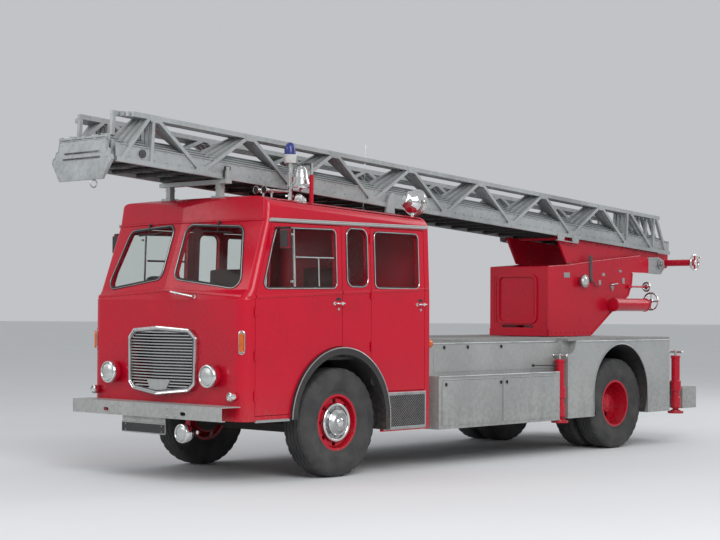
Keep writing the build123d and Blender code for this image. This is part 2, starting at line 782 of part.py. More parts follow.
# Seats: two front seats over the wheels and a bench across the back
with BuildPart() as seats:
    for side in (-1, 1):
        y_span = (side * (cowl_half + 40), side * (floor_half - 60))
        block((front_axle_x - 150, front_axle_x + 330), y_span, (front_floor_z, 1500))
        block((front_axle_x - 150, front_axle_x + 350), y_span, (1500, 1590))
        block((front_axle_x - 240, front_axle_x - 150), y_span, (1500, 2020))
    bench_z = rail_top_z + floor_plate
    block((cab_rear_x + 60, cab_rear_x + 480), (-floor_half + 80, floor_half - 80),
          (bench_z, 1190))
    for side in (-1, 1):
        block((cab_rear_x + 60, cab_rear_x + 480),
              (side * (tunnel_half + floor_plate), side * (floor_half - 80)),
              (rear_floor_z, bench_z))
    block((cab_rear_x + 60, cab_rear_x + 500), (-floor_half + 80, floor_half - 80),
          (1190, 1270))
    block((cab_rear_x + 50, cab_rear_x + 140), (-floor_half + 80, floor_half - 80),
          (1270, 1800))
save(seats, "seats")

# Dashboard across the cab, and the steering column on the right
steer_x, steer_y, steer_z = front_axle_x + 700, -640, 1800
column_tilt = 62
wheel_ring_radius = 240
column_radius = 24
column_axis = Vector(-cos(radians(column_tilt)), 0, sin(radians(column_tilt)))
column_start = Vector(steer_x, steer_y, steer_z) - column_axis * 620
with BuildPart() as dashboard:
    with BuildSketch(side_plane(floor_half - 12)):
        with BuildLine():
            Polyline((front_axle_x + 1300, 1690), (front_axle_x + 930, 1690),
                     (front_axle_x + 900, 1640), (front_axle_x + 960, 1480),
                     (front_axle_x + 1300, 1440), close=True)
        make_face()
    extrude(amount=2 * floor_half - 24)
    add(cab_inside, mode=Mode.INTERSECT)
    with BuildSketch(Plane(origin=column_start, z_dir=column_axis)):
        Circle(column_radius + 12)
    extrude(amount=560)
    block((front_axle_x + 880, front_axle_x + 960), (steer_y - 40, steer_y + 40),
          (front_floor_z, 1500))
save(dashboard, "dashboard")

with BuildPart() as steering_wheel:
    hub_plane = Plane(origin=(steer_x, steer_y, steer_z), x_dir=(0, 1, 0), z_dir=column_axis)
    with BuildSketch(hub_plane):
        Circle(wheel_ring_radius)
        Circle(wheel_ring_radius - 26, mode=Mode.SUBTRACT)
        for angle in (90, 210, 330):
            with Locations(Location((0, 0, 0), (0, 0, 1), angle)):
                with Locations((wheel_ring_radius / 2, 0)):
                    Rectangle(wheel_ring_radius - 20, 26)
        Circle(42)
    extrude(amount=24)
    with BuildSketch(hub_plane):
        Circle(column_radius)
    extrude(amount=-52)
save(steering_wheel, "steering_wheel")

# Radiator core behind the grille
with BuildPart() as radiator:
    block((front_axle_x + 1060, front_axle_x + 1150), (-350, 350), (rail_top_z, 1420))
    block((front_axle_x + 1040, front_axle_x + 1130), (-350, 350), (rail_bottom_z + 180, rail_top_z))
save(radiator, "radiator")

bumper_face_x = front_axle_x + 1550
bumper_z = (600, 722)

# Front lamps: headlamps and side lamps on the front panel, and a fog lamp under the bumper
lamp_table = [
    # y, z, radius, back x, depth
    (715, 995, 105, 1280, 110),
    (-715, 995, 105, 1280, 110),
    (985, 816, 40, 1262, 90),
    (-985, 816, 40, 1262, 90),
    (505, 470, 86, 1420, 90),
]
with BuildPart() as front_lamps:
    for y, z, radius, back, depth in lamp_table:
        with BuildSketch(cross_plane(front_axle_x + back)):
            with Locations((y, z)):
                Circle(radius * 0.7)
        with BuildSketch(cross_plane(front_axle_x + back + depth * 0.55)):
            with Locations((y, z)):
                Circle(radius)
        loft()
        with BuildSketch(cross_plane(front_axle_x + back + depth * 0.55)):
            with Locations((y, z)):
                Circle(radius)
        extrude(amount=depth * 0.45)
    add(cab_outside, mode=Mode.SUBTRACT)
    block((front_axle_x + 1426, front_axle_x + 1456), (490, 520), (540, bumper_z[0]))
save(front_lamps, "front_lamps")

# Bumper: a pressed channel with a top plate back to the cab, and the blank number plate
bumper_half = 1070
with BuildPart() as bumper:
    block((bumper_face_x - 10, bumper_face_x), (-bumper_half, bumper_half), bumper_z)
    block((front_axle_x + 1312, bumper_face_x), (-bumper_half, bumper_half),
          (bumper_z[1], bumper_z[1] + 8))
    block((bumper_face_x - 50, bumper_face_x), (-bumper_half, bumper_half),
          (bumper_z[0], bumper_z[0] + 8))
    for side in (-1, 1):
        block((front_axle_x + horn_front, bumper_face_x - 10),
              (side * rail_inner_y, side * rail_outer_y), (bumper_z[0] + 8, bumper_z[1]))
    block((bumper_face_x - 44, bumper_face_x - 36), (-350, 270), (448, bumper_z[0]))
    with BuildSketch(cross_plane(bumper_face_x - 20)) as tow_slots:
        for y in (-554, 554):
            with Locations((y, 650)):
                SlotOverall(84, 40)
    extrude(tow_slots.sketch, amount=40, mode=Mode.SUBTRACT)
save(bumper, "bumper")

# Deck: a plate over the chassis on two bearers, with the turntable's fixed ring
spigot_radius = 300
spigot_height = 36
bearer_width = 60
deck_front_x = front_axle_x - body_front_back
with BuildPart() as deck:
    block((front_axle_x - rear_body_front_back, deck_front_x),
          (-upper_panel_half_width, upper_panel_half_width), (deck_top_z - deck_plate, deck_top_z))
    block((body_rear_x, front_axle_x - rear_body_front_back), (-body_half_width, body_half_width),
          (deck_top_z - deck_plate, deck_top_z))
    for side in (-1, 1):
        block((body_rear_x, deck_front_x),
              (side * (rail_outer_y - bearer_width), side * rail_outer_y),
              (rail_top_z, deck_top_z - deck_plate))
    block((body_rear_x, body_rear_x + 20), (-rail_outer_y, rail_outer_y),
          (rail_top_z, deck_top_z - deck_plate))
    with Locations((slew_x, 0, deck_top_z + spigot_height / 2)):
        Cylinder(spigot_radius, spigot_height)
save(deck, "deck")

# Body sides: lockers below a walkway, the upper panel, and the rear panel with its wheel arch
locker_inner = 500
body_join_x = front_axle_x - rear_body_front_back
notch_radius = 150
for name, side in sides:
    with BuildPart() as body_side:
        block((front_axle_x - locker_rear_back, deck_front_x),
              (side * locker_inner, side * body_half_width), (locker_bottom_z, locker_top_z))
        block((body_join_x, deck_front_x),
              (side * rail_outer_y, side * upper_panel_half_width),
              (locker_top_z, deck_top_z - deck_plate))
        block((body_rear_x, body_join_x), (side * rail_outer_y, side * body_half_width),
              (rail_top_z, deck_top_z - deck_plate))
        block((body_rear_x, body_join_x), (side * (locker_inner - 40), side * body_half_width),
              (400, rail_top_z))
        with BuildSketch(side_plane(1300 if side > 0 else -420)) as arch:
            with Locations((rear_axle_x + 15, rear_arch_centre_z)):
                Circle(rear_arch_radius)
            with Locations((rear_axle_x + 15, rear_arch_centre_z / 2)):
                Rectangle(2 * rear_arch_radius, rear_arch_centre_z)
        extrude(amount=880, mode=Mode.SUBTRACT)
        with BuildSketch(side_plane(1300 if side > 0 else -body_half_width + 90)) as notch:
            with Locations((body_join_x, deck_top_z - deck_plate)):
                Circle(notch_radius)
        extrude(notch.sketch, amount=1300 - body_half_width + 90, mode=Mode.SUBTRACT)
        block((body_rear_x, body_rear_x + 14), (side * 700, side * 1060), (500, 1200),
              mode=Mode.SUBTRACT)
    save(body_side, f"body_side_{name}")

# Rear step: a low box across the tail behind the jacks
with BuildPart() as rear_step:
    block((step_rear_x, front_axle_x - step_front_back), (-1120, 1120), (412, 670))
save(rear_step, "rear_step")

# Turntable: a base on the ring, side plates, a front wall and the rear bearing ears
turntable_gap = 6
base_z = deck_top_z + turntable_gap
base_plate = 60
housing_front_back = 4255
side_plate_outline = [
    (-housing_front_back, base_z), (-housing_front_back, 2132), (-4700, 2160), (-5236, 2221),
    (-6233, 2312), (-6440, 2290), (-6440, 2100), (-6060, 2100), (-6050, 1960), (-5967, 1802),
    (-5667, 1642), (-5140, base_z),
]
lift_base_back, lift_base_z = 4900, 1500
lift_pin_reach = 500
lift_pin_angle = 0
lift_barrel_y = 205
lift_barrel_radius = 72
lift_rod_radius = 44
trunnion_radius = 34
ear_outline = [(-6360, 2105), (-6360, 2296), (-6700, 2310), (-6830, 2270), (-6850, 2180),
               (-6760, 2090), (-6640, 2090)]


def side_plate(outline, y_outer, thickness):
    """A flat plate cut to a side outline, its outer face at y_outer."""
    placed = [(front_axle_x + x, z) for x, z in outline]
    start = max(y_outer, y_outer - thickness)
    extrude(outline_sketch(placed, 0, side_plane(start)), amount=abs(thickness))


with BuildPart() as turntable:
    for side in (-1, 1):
        start = housing_half_width if side > 0 else housing_plate - housing_half_width
        side_plate(side_plate_outline, start, housing_plate)
        block((front_axle_x - lift_base_back - 60, front_axle_x - lift_base_back + 60),
              (side * (housing_half_width - housing_plate), side * (housing_half_width - 70)),
              (base_z + base_plate, lift_base_z + 70))
    block((front_axle_x - housing_front_back - housing_plate, front_axle_x - housing_front_back),
          (-housing_half_width, housing_half_width), (base_z, 2132))
    block((front_axle_x - 5140, front_axle_x - housing_front_back),
          (-housing_half_width, housing_half_width), (base_z, base_z + base_plate))
    with BuildSketch(cross_plane(front_axle_x - housing_front_back)) as panel_frame:
        with Locations((-15, 1750)):
            RectangleRounded(590, 590, 90)
            RectangleRounded(530, 530, 62, mode=Mode.SUBTRACT)
    extrude(panel_frame.sketch, amount=22)
    block((front_axle_x - housing_front_back - 20, front_axle_x - housing_front_back + 20),
          (-250, 220), (1408, 1436), mode=Mode.SUBTRACT)
    with Locations((slew_x, 0, base_z + base_plate / 2)):
        Cylinder(ring_radius, base_plate)
        Cylinder(spigot_radius + running_clearance, base_plate, mode=Mode.SUBTRACT)
    with Locations((slew_x, 0, base_z + base_plate - 10)):
        Cylinder(spigot_radius + 20, 20)
    with Locations((front_axle_x - lift_base_back, 0, lift_base_z)):
        Cylinder(trunnion_radius + running_clearance, 2 * housing_half_width,
                 rotation=(90, 0, 0), mode=Mode.SUBTRACT)
save(turntable, "turntable")

# Bearing ears behind the side plates, bored for the ladder's heel pin
ear_thickness = 34
with BuildPart() as pivot_ears:
    for side in (-1, 1):
        start = housing_half_width - housing_plate if side > 0 else -housing_half_width + housing_plate + ear_thickness
        side_plate(ear_outline, start, ear_thickness)
    with Locations((front_axle_x - pivot_back, 0, pivot_z)):
        Cylinder(pivot_pin_radius + running_clearance, 2 * housing_half_width,
                 rotation=(90, 0, 0), mode=Mode.SUBTRACT)
save(pivot_ears, "pivot_ears")

# Lift cylinders: a pair of barrels on one trunnion, and a pair of rods
lift_base = Vector(front_axle_x - lift_base_back, 0, lift_base_z)
pivot = Vector(front_axle_x - pivot_back, 0, pivot_z)
lift_pin = pivot + Vector(cos(radians(lift_pin_angle)), 0, sin(radians(lift_pin_angle))) * lift_pin_reach
lift_direction = (lift_pin - lift_base).normalized()
lift_length = (lift_pin - lift_base).length
barrel_length = lift_length - 200
rod_inner_start = 200


def lift_tube(y, start, length, radius, bore=0):
    """A round bar along the lift cylinders' line, at one side."""
    origin = lift_base + lift_direction * start + Vector(0, y, 0)
    with BuildSketch(Plane(origin=origin, x_dir=(0, 1, 0), z_dir=lift_direction)) as disc:
        Circle(radius)
        if bore:
            Circle(bore, mode=Mode.SUBTRACT)
    extrude(disc.sketch, amount=length)


with BuildPart() as lift_barrels:
    for side in (-1, 1):
        lift_tube(side * lift_barrel_y, 0, rod_inner_start - 10, lift_barrel_radius)
        lift_tube(side * lift_barrel_y, rod_inner_start - 10, barrel_length - rod_inner_start + 10,
                  lift_barrel_radius, lift_rod_radius + running_clearance)
    with Locations(tuple(lift_base)):
        Cylinder(trunnion_radius, 2 * housing_half_width - 4, rotation=(90, 0, 0))
save(lift_barrels, "lift_barrels")

eye_radius = 62
eye_width = 100
lug_gap = 6
with BuildPart() as lift_rods:
    for side in (-1, 1):
        lift_tube(side * lift_barrel_y, rod_inner_start, lift_length - rod_inner_start,
                  lift_rod_radius)
        with Locations((lift_pin.X, side * lift_barrel_y, lift_pin.Z)):
            Cylinder(eye_radius, eye_width, rotation=(90, 0, 0))
save(lift_rods, "lift_rods")

# Ladder: four nested lattice sections. Local axes: along the ladder, and square to it
ladder_plane_x = Vector(cos(radians(ladder_slope)), 0, sin(radians(ladder_slope)))
ladder_up = Vector(-sin(radians(ladder_slope)), 0, cos(radians(ladder_slope)))
heel = Vector(front_axle_x - heel_back, 0, heel_z)


def ladder_side(y):
    """A drawing plane along the ladder's slope facing -Y, its face at y."""
    return Plane(origin=heel + Vector(0, y, 0), x_dir=ladder_plane_x, z_dir=(0, -1, 0))


def ladder_local(point):
    """A point's distance along the ladder from the heel, and above its underside."""
    offset_vector = point - heel
    return offset_vector.dot(ladder_plane_x), offset_vector.dot(ladder_up)


# name, half width, underside, depth, web height, start, end of the top chord, end
section_table = [
    ("ladder_base_section", 430, 0, 470, 165, 20, 9065, 9230),
    ("ladder_second_section", 372, 44, 430, 152, 110, 9085, 9242),
    ("ladder_third_section", 314, 88, 390, 139, 200, 9105, 9254),
    ("ladder_top_section", 256, 132, 350, 126, 290, 9170, 9264),
]
truss_pitch = 1196
first_apex = 8812
bay_count = 7
side_bar = 36
web_plate = 14
diagonal = 34
rung_pitch = 300
rung_size = 26
rung_rail = 14
foot_rise = 34


def bar(start, end, width):
    """A flat bar between two points of a sketch."""
    length = hypot(end[0] - start[0], end[1] - start[1])
    angle = degrees(atan2(end[1] - start[1], end[0] - start[0]))
    middle = ((start[0] + end[0]) / 2, (start[1] + end[1]) / 2)
    with Locations(Location((middle[0], middle[1], 0), (0, 0, 1), angle)):
        Rectangle(length, width)


def truss_bars(section):
    """The bars of one side truss of a section, drawn in the sketch around it."""
    name, half, low, depth, web, start, top_end, end = section
    low_mid = low + chord / 2
    high = low + depth - chord / 2
    foot = low + foot_rise
    bar((start, low_mid), (end, low_mid), chord)
    bar((start + 278, high), (top_end, high), chord)
    bar((start + 100, foot), (start + 350, high), diagonal)
    bar((start + 400, foot), (start + 400, high), diagonal)
    bar((start + 430, foot), (first_apex - 6.55 * truss_pitch, high), diagonal)
    bar((first_apex - 6.5 * truss_pitch, foot), (first_apex - 6.5 * truss_pitch, high), diagonal)
    for number in range(bay_count):
        apex = first_apex - number * truss_pitch
        bar((apex - 15, high), (apex - truss_pitch / 2, foot), diagonal)
        if number:
            bar((apex + 15, high), (apex + truss_pitch / 2, foot), diagonal)
    bar((first_apex + 16, foot), (first_apex + 16, high), diagonal)
    bar((first_apex + 60, high), (end - 60, foot), diagonal)


def truss(section, side):
    """One side truss: flat bars on the outside and a web plate behind their feet."""
    name, half, low, depth, web, start, top_end, end = section
    outer = half if side > 0 else side_bar - half
    web_face = half - side_bar + web_plate if side > 0 else side_bar - half
    with BuildPart() as frame:
        with BuildSketch(ladder_side(outer)) as bars:
            truss_bars(section)
        extrude(bars.sketch, amount=side_bar)
        with BuildSketch(ladder_side(web_face)) as plate:
            bar((start, low + web / 2), (end, low + web / 2), web)
        extrude(plate.sketch, amount=web_plate)
        if name == "ladder_base_section":
            with BuildSketch(ladder_side(half + 26 if side > 0 else -half)) as fin:
                with BuildLine():
                    Polyline(*guide_fin, close=True)
                make_face()
            extrude(fin.sketch, amount=26)
        if name == "ladder_top_section":
            post = (top_end - 20, low + web)
            with BuildSketch(ladder_side(outer)) as end_post:
                bar(post, (post[0], low + depth), diagonal)
            extrude(end_post.sketch, amount=side_bar)
    return frame.part


def rung_frame(section):
    """A section's rungs between two thin rails, which lie against the trusses' inner faces."""
    name, half, low, depth, web, start, top_end, end = section
    inner = half - side_bar
    low_mid = low + chord / 2
    rung_count = int((end - start - 300) / rung_pitch)
    with BuildPart() as frame:
        with BuildSketch(ladder_side(inner - rung_rail)) as rungs:
            for number in range(rung_count):
                with Locations((start + 200 + number * rung_pitch, low_mid)):
                    Rectangle(rung_size, rung_size)
        extrude(rungs.sketch, amount=2 * (inner - rung_rail))
        for outer in (inner, rung_rail - inner):
            with BuildSketch(ladder_side(outer)) as rail:
                bar((start + 100, low_mid), (end - 100, low_mid), rung_size)
            extrude(rail.sketch, amount=rung_rail)
    return frame.part


# Guide fin that the cab's rear crutch holds, as (distance from the heel, height) corners
guide_fin = [(5500, -66), (5636, -66), (5612, 60), (5590, 120), (5560, 148), (5520, 148)]

# Nose plate across the head of the top section, as (half width, height) corners up one side
nose_outline = [(310, -160), (435, 14), (418, 56), (392, 62), (380, 110), (352, 116), (338, 205)]
nose_start, nose_plate = 9264, 26
nose_slots = [(-10, 150, 500, 18), (-10, 98, 540, 18)]
nose_plane = Plane(origin=heel + ladder_plane_x * nose_start, x_dir=(0, 1, 0),
                   z_dir=ladder_plane_x)
for section in section_table:
    pieces = [truss(section, 1), truss(section, -1), rung_frame(section)]
    if section[0] == "ladder_top_section":
        with BuildPart() as nose:
            with BuildSketch(nose_plane) as nose_face:
                with BuildLine():
                    Polyline(*nose_outline, *[(-y, v) for y, v in reversed(nose_outline)],
                             close=True)
                make_face()
                for y, v, width, height in nose_slots:
                    with Locations((y, v - 60)):
                        Rectangle(width, height, mode=Mode.SUBTRACT)
            extrude(nose_face.sketch, amount=nose_plate)
        pieces.append(nose.part)
    save_group(pieces, section[0])

# Ladder cradle: red side plates under the base section, lift lugs and the heel pin
cradle_y = 372
cradle_plate = 20
pin_s, pin_v = ladder_local(pivot)
lift_s, lift_v = ladder_local(lift_pin)
cradle_outline = [(-20, 0), (2470, 0), (2256, -300), (1500, -296), (lift_s + 110, lift_v - 95),
                  (lift_s - 120, lift_v - 88), (pin_s + 40, pin_v - 80), (pin_s - 60, pin_v - 70),
                  (0, -175), (-20, -150)]
lug_inner = eye_width / 2 + lug_gap
lug_plate = 24
# Cross plates between the side plates, as (distance from the heel, width along the ladder)
spreader_table = [(pin_s - 200, 60), (1500, 60), (2300, 60)]
pin_reach = housing_half_width - 1
cradle_pieces = []
for side in (-1, 1):
    outer = cradle_y if side > 0 else cradle_plate - cradle_y
    with BuildPart() as plate:
        with BuildSketch(ladder_side(outer)) as plate_outline:
            with BuildLine():
                Polyline(*cradle_outline, close=True)
            make_face()
        extrude(plate_outline.sketch, amount=cradle_plate)
        with Locations((pivot.X, side * (cradle_y - cradle_plate + pin_reach) / 2, pivot.Z)):
            Cylinder(pivot_pin_radius, pin_reach - cradle_y + cradle_plate, rotation=(90, 0, 0))
    cradle_pieces.append(plate.part)
spreader_half = cradle_y - cradle_plate
for s, width in spreader_table:
    with BuildPart() as spreader:
        with BuildSketch(ladder_side(spreader_half)) as spreader_section:
            with Locations((s, -14)):
                Rectangle(width, 28)
        extrude(spreader_section.sketch, amount=2 * spreader_half)
    cradle_pieces.append(spreader.part)
with BuildPart() as lift_bracket:
    with BuildSketch(ladder_side(spreader_half)) as bracket_section:
        with Locations((lift_s, -14)):
            Rectangle(420, 28)
    extrude(bracket_section.sketch, amount=2 * spreader_half)
    for y in (-lift_barrel_y, lift_barrel_y):
        for offset_y in (-lug_inner - lug_plate, lug_inner):
            with BuildSketch(ladder_side(y + offset_y + lug_plate)) as lug:
                with BuildLine():
                    Polyline((lift_s - 130, -20), (lift_s + 130, -20), (lift_s + 60, lift_v - 50),
                             (lift_s - 60, lift_v - 50), close=True)
                make_face()
            extrude(lug.sketch, amount=lug_plate)
cradle_pieces.append(lift_bracket.part)
save_group(cradle_pieces, "ladder_cradle")

# Ladder rest on the cab roof: two legs and a padded beam with guide horns
rest_x = front_axle_x + 930
rest_gap = 1
rest_top = heel_z + (rest_x - 40 - heel.X) * tan(radians(ladder_slope)) - rest_gap
with BuildPart() as ladder_rest:
    block((rest_x - 40, rest_x + 40), (-480, 480), (rest_top - 40, rest_top))
    for side in (-1, 1):
        block((rest_x - 30, rest_x + 30), (side * 330, side * 390), (roof_line_z + 60, rest_top))
        block((rest_x - 20, rest_x + 20), (side * 448, side * 470), (rest_top, rest_top + 120))
    add(roof_outer, mode=Mode.SUBTRACT)
save(ladder_rest, "ladder_rest")

# Bell in its yoke, and the round beacon on a stem behind it, on the nearside of the roof
bell_x, bell_y = front_axle_x + 280, 800
beacon_x, beacon_y = front_axle_x + 300, 668
roof_at_bell_z = 2600
bell_profile = [(0, 2774), (116, 2774), (118, 2786), (92, 2816), (68, 2880), (60, 2950),
                (40, 2984), (0, 2990)]
beacon_profile = [(0, 3030), (56, 3030), (64, 3096), (52, 3104), (50, 3170), (34, 3212), (0, 3224)]
yoke_half, yoke_bar = 128, 22


def upright_revolve(profile, x, y):
    """Turn a (radius, z) profile round an upright line."""
    with BuildSketch(Plane(origin=(x, y, 0), x_dir=(1, 0, 0), z_dir=(0, -1, 0))) as half_section:
        with BuildLine():
            Polyline(*profile, close=True)
        make_face()
    revolve(half_section.sketch, axis=Axis((x, y, 0), (0, 0, 1)))


with BuildPart() as bell:
    upright_revolve(bell_profile, bell_x, bell_y)
    for side in (-1, 1):
        block((bell_x - 12, bell_x + 12),
              (bell_y + side * yoke_half, bell_y + side * (yoke_half + yoke_bar)),
              (roof_at_bell_z, 3014))
    block((bell_x - 12, bell_x + 12), (bell_y - yoke_half, bell_y + yoke_half), (2992, 3014))
    with Locations((bell_x, bell_y, 2992)):
        Cylinder(14, 20)
    upright_revolve(beacon_profile, beacon_x, beacon_y)
    with Locations((beacon_x, beacon_y, (roof_at_bell_z + 3040) / 2)):
        Cylinder(17, 3040 - roof_at_bell_z)
    block((bell_x - 26, bell_x + 60), (beacon_y - 20, bell_y - yoke_half),
          (2700, 2716))
    add(roof_outer, mode=Mode.SUBTRACT)
save(bell, "bell")

# Roof lamps and horns: axes along X, each (distance from the mouth, radius) profile turned round
horn_profile = [(0, 0), (0, 36), (-22, 24), (-60, 15), (-330, 12), (-330, 0)]
lamp_profile = [(0, 0), (0, 62), (-14, 62), (-60, 44), (-80, 0)]
search_profile = [(0, 0), (0, 128), (24, 128), (120, 112), (170, 74), (192, 0)]
roof_items = [
    # profile, x of the mouth, y, z, stalk radius, stalk's place along X
    (horn_profile, 650, 560, 2752, 9, -100),
    (horn_profile, 650, 672, 2748, 9, -100),
    (lamp_profile, 462, 950, 2640, 10, -40),
    (search_profile, -1330, 900, 2722, 16, 80),
]
with BuildPart() as roof_lamps:
    for profile, x, y, z, stalk, stalk_x in roof_items:
        with BuildSketch(Plane(origin=(front_axle_x + x, y, z), x_dir=(1, 0, 0),
                               z_dir=(0, -1, 0))) as half_section:
            with BuildLine():
                Polyline(*profile, close=True)
            make_face()
        revolve(half_section.sketch, axis=Axis((front_axle_x + x, y, z), (1, 0, 0)))
        with Locations((front_axle_x + x + stalk_x, y, (2480 + z) / 2)):
            Cylinder(stalk, z - 2480)
    add(roof_outer, mode=Mode.SUBTRACT)
save(roof_lamps, "roof_lamps")


def hand_wheel(plane, radius, rim, rim_depth):
    """A spoked handwheel drawn on a plane, in the builder around it."""
    with BuildSketch(plane) as wheel:
        Circle(radius)
        Circle(radius - rim, mode=Mode.SUBTRACT)
        Rectangle(2 * radius - rim, 14)
        Rectangle(14, 2 * radius - rim)
        Circle(26)
    extrude(wheel.sketch, amount=rim_depth)


# Turntable's gear shafts: a gear tube on the side plate, with two handwheels facing the tail
side_face_y = housing_half_width
gear_tube_y, gear_tube_z, gear_tube_radius = side_face_y + 82, 1690, 80
gear_tube_back = (5510, 6230)
gear_wheels = [
    # start of the shaft behind the front axle, y, z, rim radius
    (6230, gear_tube_y, 1735, 115),
    (5950, side_face_y + 16, 1920, 62),
]
gear_wheel_back = 6360
with BuildPart() as gear_shafts:
    with BuildSketch(cross_plane(front_axle_x - gear_tube_back[1])) as tube_end:
        with Locations((gear_tube_y, gear_tube_z)):
            Circle(gear_tube_radius)
    extrude(tube_end.sketch, amount=gear_tube_back[1] - gear_tube_back[0])
    block((front_axle_x - 5690, front_axle_x - 5550), (side_face_y, gear_tube_y),
          (gear_tube_z - 34, gear_tube_z + 34))
    block((front_axle_x - 6010, front_axle_x - 5940), (side_face_y, side_face_y + 30),
          (1900, 1940))
    for start, y, z, radius in gear_wheels:
        with BuildSketch(cross_plane(front_axle_x - gear_wheel_back)) as shaft_end:
            with Locations((y, z)):
                Circle(12)
        extrude(shaft_end.sketch, amount=gear_wheel_back - start + 5)
        hand_wheel(Plane(origin=(front_axle_x - gear_wheel_back, y, z), x_dir=(0, 1, 0),
                         z_dir=(-1, 0, 0)), radius, 18, 18)
save(gear_shafts, "gear_shafts")

# Extension winch's cross tube at the ladder's heel, with its spoked handwheel
winch_back, winch_z, winch_radius = 6932, 2240, 42
winch_end_y = 800
with BuildPart() as winch_shaft:
    with BuildSketch(Plane(origin=(front_axle_x - winch_back, cradle_y, winch_z),
                           x_dir=(1, 0, 0), z_dir=(0, 1, 0))) as tube_end:
        Circle(winch_radius)
    extrude(tube_end.sketch, amount=winch_end_y - cradle_y)
    hand_wheel(Plane(origin=(front_axle_x - winch_back, winch_end_y, winch_z), x_dir=(1, 0, 0),
                     z_dir=(0, 1, 0)), 105, 18, 20)
save(winch_shaft, "winch_shaft")
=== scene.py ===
"""Turntable ladder fire engine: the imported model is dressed, painted and lit piece by piece."""

import json

from math import cos, hypot, pi, radians, sin

import bmesh
import bpy
from mathutils import Matrix, Vector


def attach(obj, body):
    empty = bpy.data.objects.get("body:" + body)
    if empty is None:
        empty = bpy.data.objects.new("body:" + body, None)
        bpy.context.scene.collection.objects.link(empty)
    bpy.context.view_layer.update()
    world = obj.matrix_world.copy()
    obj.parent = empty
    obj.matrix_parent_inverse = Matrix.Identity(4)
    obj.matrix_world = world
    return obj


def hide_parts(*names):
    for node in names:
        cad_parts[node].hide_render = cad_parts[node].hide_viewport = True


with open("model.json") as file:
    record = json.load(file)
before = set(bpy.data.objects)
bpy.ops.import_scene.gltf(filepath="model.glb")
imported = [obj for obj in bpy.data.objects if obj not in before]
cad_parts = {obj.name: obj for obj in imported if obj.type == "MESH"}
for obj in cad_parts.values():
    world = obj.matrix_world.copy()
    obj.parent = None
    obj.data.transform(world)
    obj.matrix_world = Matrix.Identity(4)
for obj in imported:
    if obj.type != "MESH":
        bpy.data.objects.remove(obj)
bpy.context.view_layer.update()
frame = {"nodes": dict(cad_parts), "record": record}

# Studio: a pale surround, a large soft key from the nearside and weaker fills from ahead and
# behind. The camera stands at the nearside front corner at a person's eye height.
link = bpy.context.scene.collection.objects.link
photo_width, focal_pixels, sensor_width = 720, 1623.2, 36.0
camera_forward, camera_roll = Vector((-0.73629, -0.67623, 0.02452)), -0.005

camera_data = bpy.data.cameras.new("camera")
camera_data.sensor_width = sensor_width
camera_data.lens = focal_pixels / photo_width * sensor_width
camera_data.clip_end = 200
camera = bpy.data.objects.new("camera", camera_data)
camera.location = 13.7575, 11.784, 1.610
camera.rotation_mode = "QUATERNION"
camera.rotation_quaternion = (Matrix.Rotation(camera_roll, 4, camera_forward)
                              @ camera_forward.to_track_quat("-Z", "Y").to_matrix().to_4x4()
                              ).to_quaternion()
link(camera)
bpy.context.scene.camera = camera
bpy.context.scene.view_settings.view_transform = "Standard"

world = bpy.data.worlds.new("surround")
world.use_nodes = True
bpy.context.scene.world = world
sky = world.node_tree.nodes["Background"]
sky.inputs["Color"].default_value = (0.86, 0.88, 0.91, 1)
sky.inputs["Strength"].default_value = 0.62

softboxes = (
    # name, place, aim, width, power
    ("key_light", (9.0, 13.0, 10.0), (0.0, 0.0, 1.0), 9.0, 1500),
    ("fill_light", (14.0, -6.0, 7.0), (1.5, 0.0, 1.5), 8.0, 420),
    ("rear_light", (-13.0, 4.0, 9.0), (-2.0, 0.0, 1.5), 8.0, 520),
)
for name, place, aim, width, power in softboxes:
    lamp = bpy.data.lights.new(name, "AREA")
    lamp.shape, lamp.size, lamp.energy = "SQUARE", width, power
    lamp_object = bpy.data.objects.new(name, lamp)
    lamp_object.location = place
    lamp_object.rotation_mode = "QUATERNION"
    lamp_object.rotation_quaternion = (Vector(aim) - Vector(place)).to_track_quat("-Z", "Y")
    link(lamp_object)


# Finishes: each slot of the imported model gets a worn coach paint, metal, rubber, leather or glass,
# all drawn from patterns in the object's own space. The solids take theirs here.
class Value:
    """A shader socket that works in plain expressions: each operator adds its own node."""

    def __init__(self, tree, socket):
        self.tree, self.socket = tree, socket

    def node(self, kind, values=(), out=0, **settings):
        """Any node: its settings first, then the values or links of its sockets."""
        made = self.tree.nodes.new(kind)
        for key, setting in settings.items():
            setattr(made, key, setting)
        for key, value in dict(values).items():
            if isinstance(value, Value):
                self.tree.links.new(value.socket, made.inputs[key])
            else:
                made.inputs[key].default_value = value
        return Value(self.tree, made.outputs[out])

    def math(self, operation, *operands):
        return self.node("ShaderNodeMath", enumerate(operands), operation=operation)

    def __add__(self, other):
        return self.math("ADD", self, other)

    def __sub__(self, other):
        return self.math("SUBTRACT", self, other)

    def __rsub__(self, other):
        return self.math("SUBTRACT", other, self)

    def __mul__(self, other):
        return self.math("MULTIPLY", self, other)

    __radd__, __rmul__ = __add__, __mul__


def step(value, low, high):
    """0 below low, 1 above high and smooth between them."""
    return value.node("ShaderNodeMapRange", {"Value": value, "From Min": low, "From Max": high},
                      "Result", interpolation_type="SMOOTHSTEP")


def blend(mask, first, second):
    """The first colour where the mask is 0 and the second where it is 1."""
    first, second = [tint if isinstance(tint, Value) else (*tint, 1) for tint in (first, second)]
    return mask.node("ShaderNodeMix", {"Factor": mask, 6: first, 7: second}, 2, data_type="RGBA")


def noise(here, scale, detail=3.0, stretch=(1, 1, 1)):
    """Cloudy noise from 0 to 1 about 0.5, its grain stretched along the small factors."""
    place = here.node("ShaderNodeVectorMath", {0: here, 1: stretch}, operation="MULTIPLY")
    return here.node("ShaderNodeTexNoise", {"Vector": place, "Scale": scale, "Detail": detail},
                     "Fac")


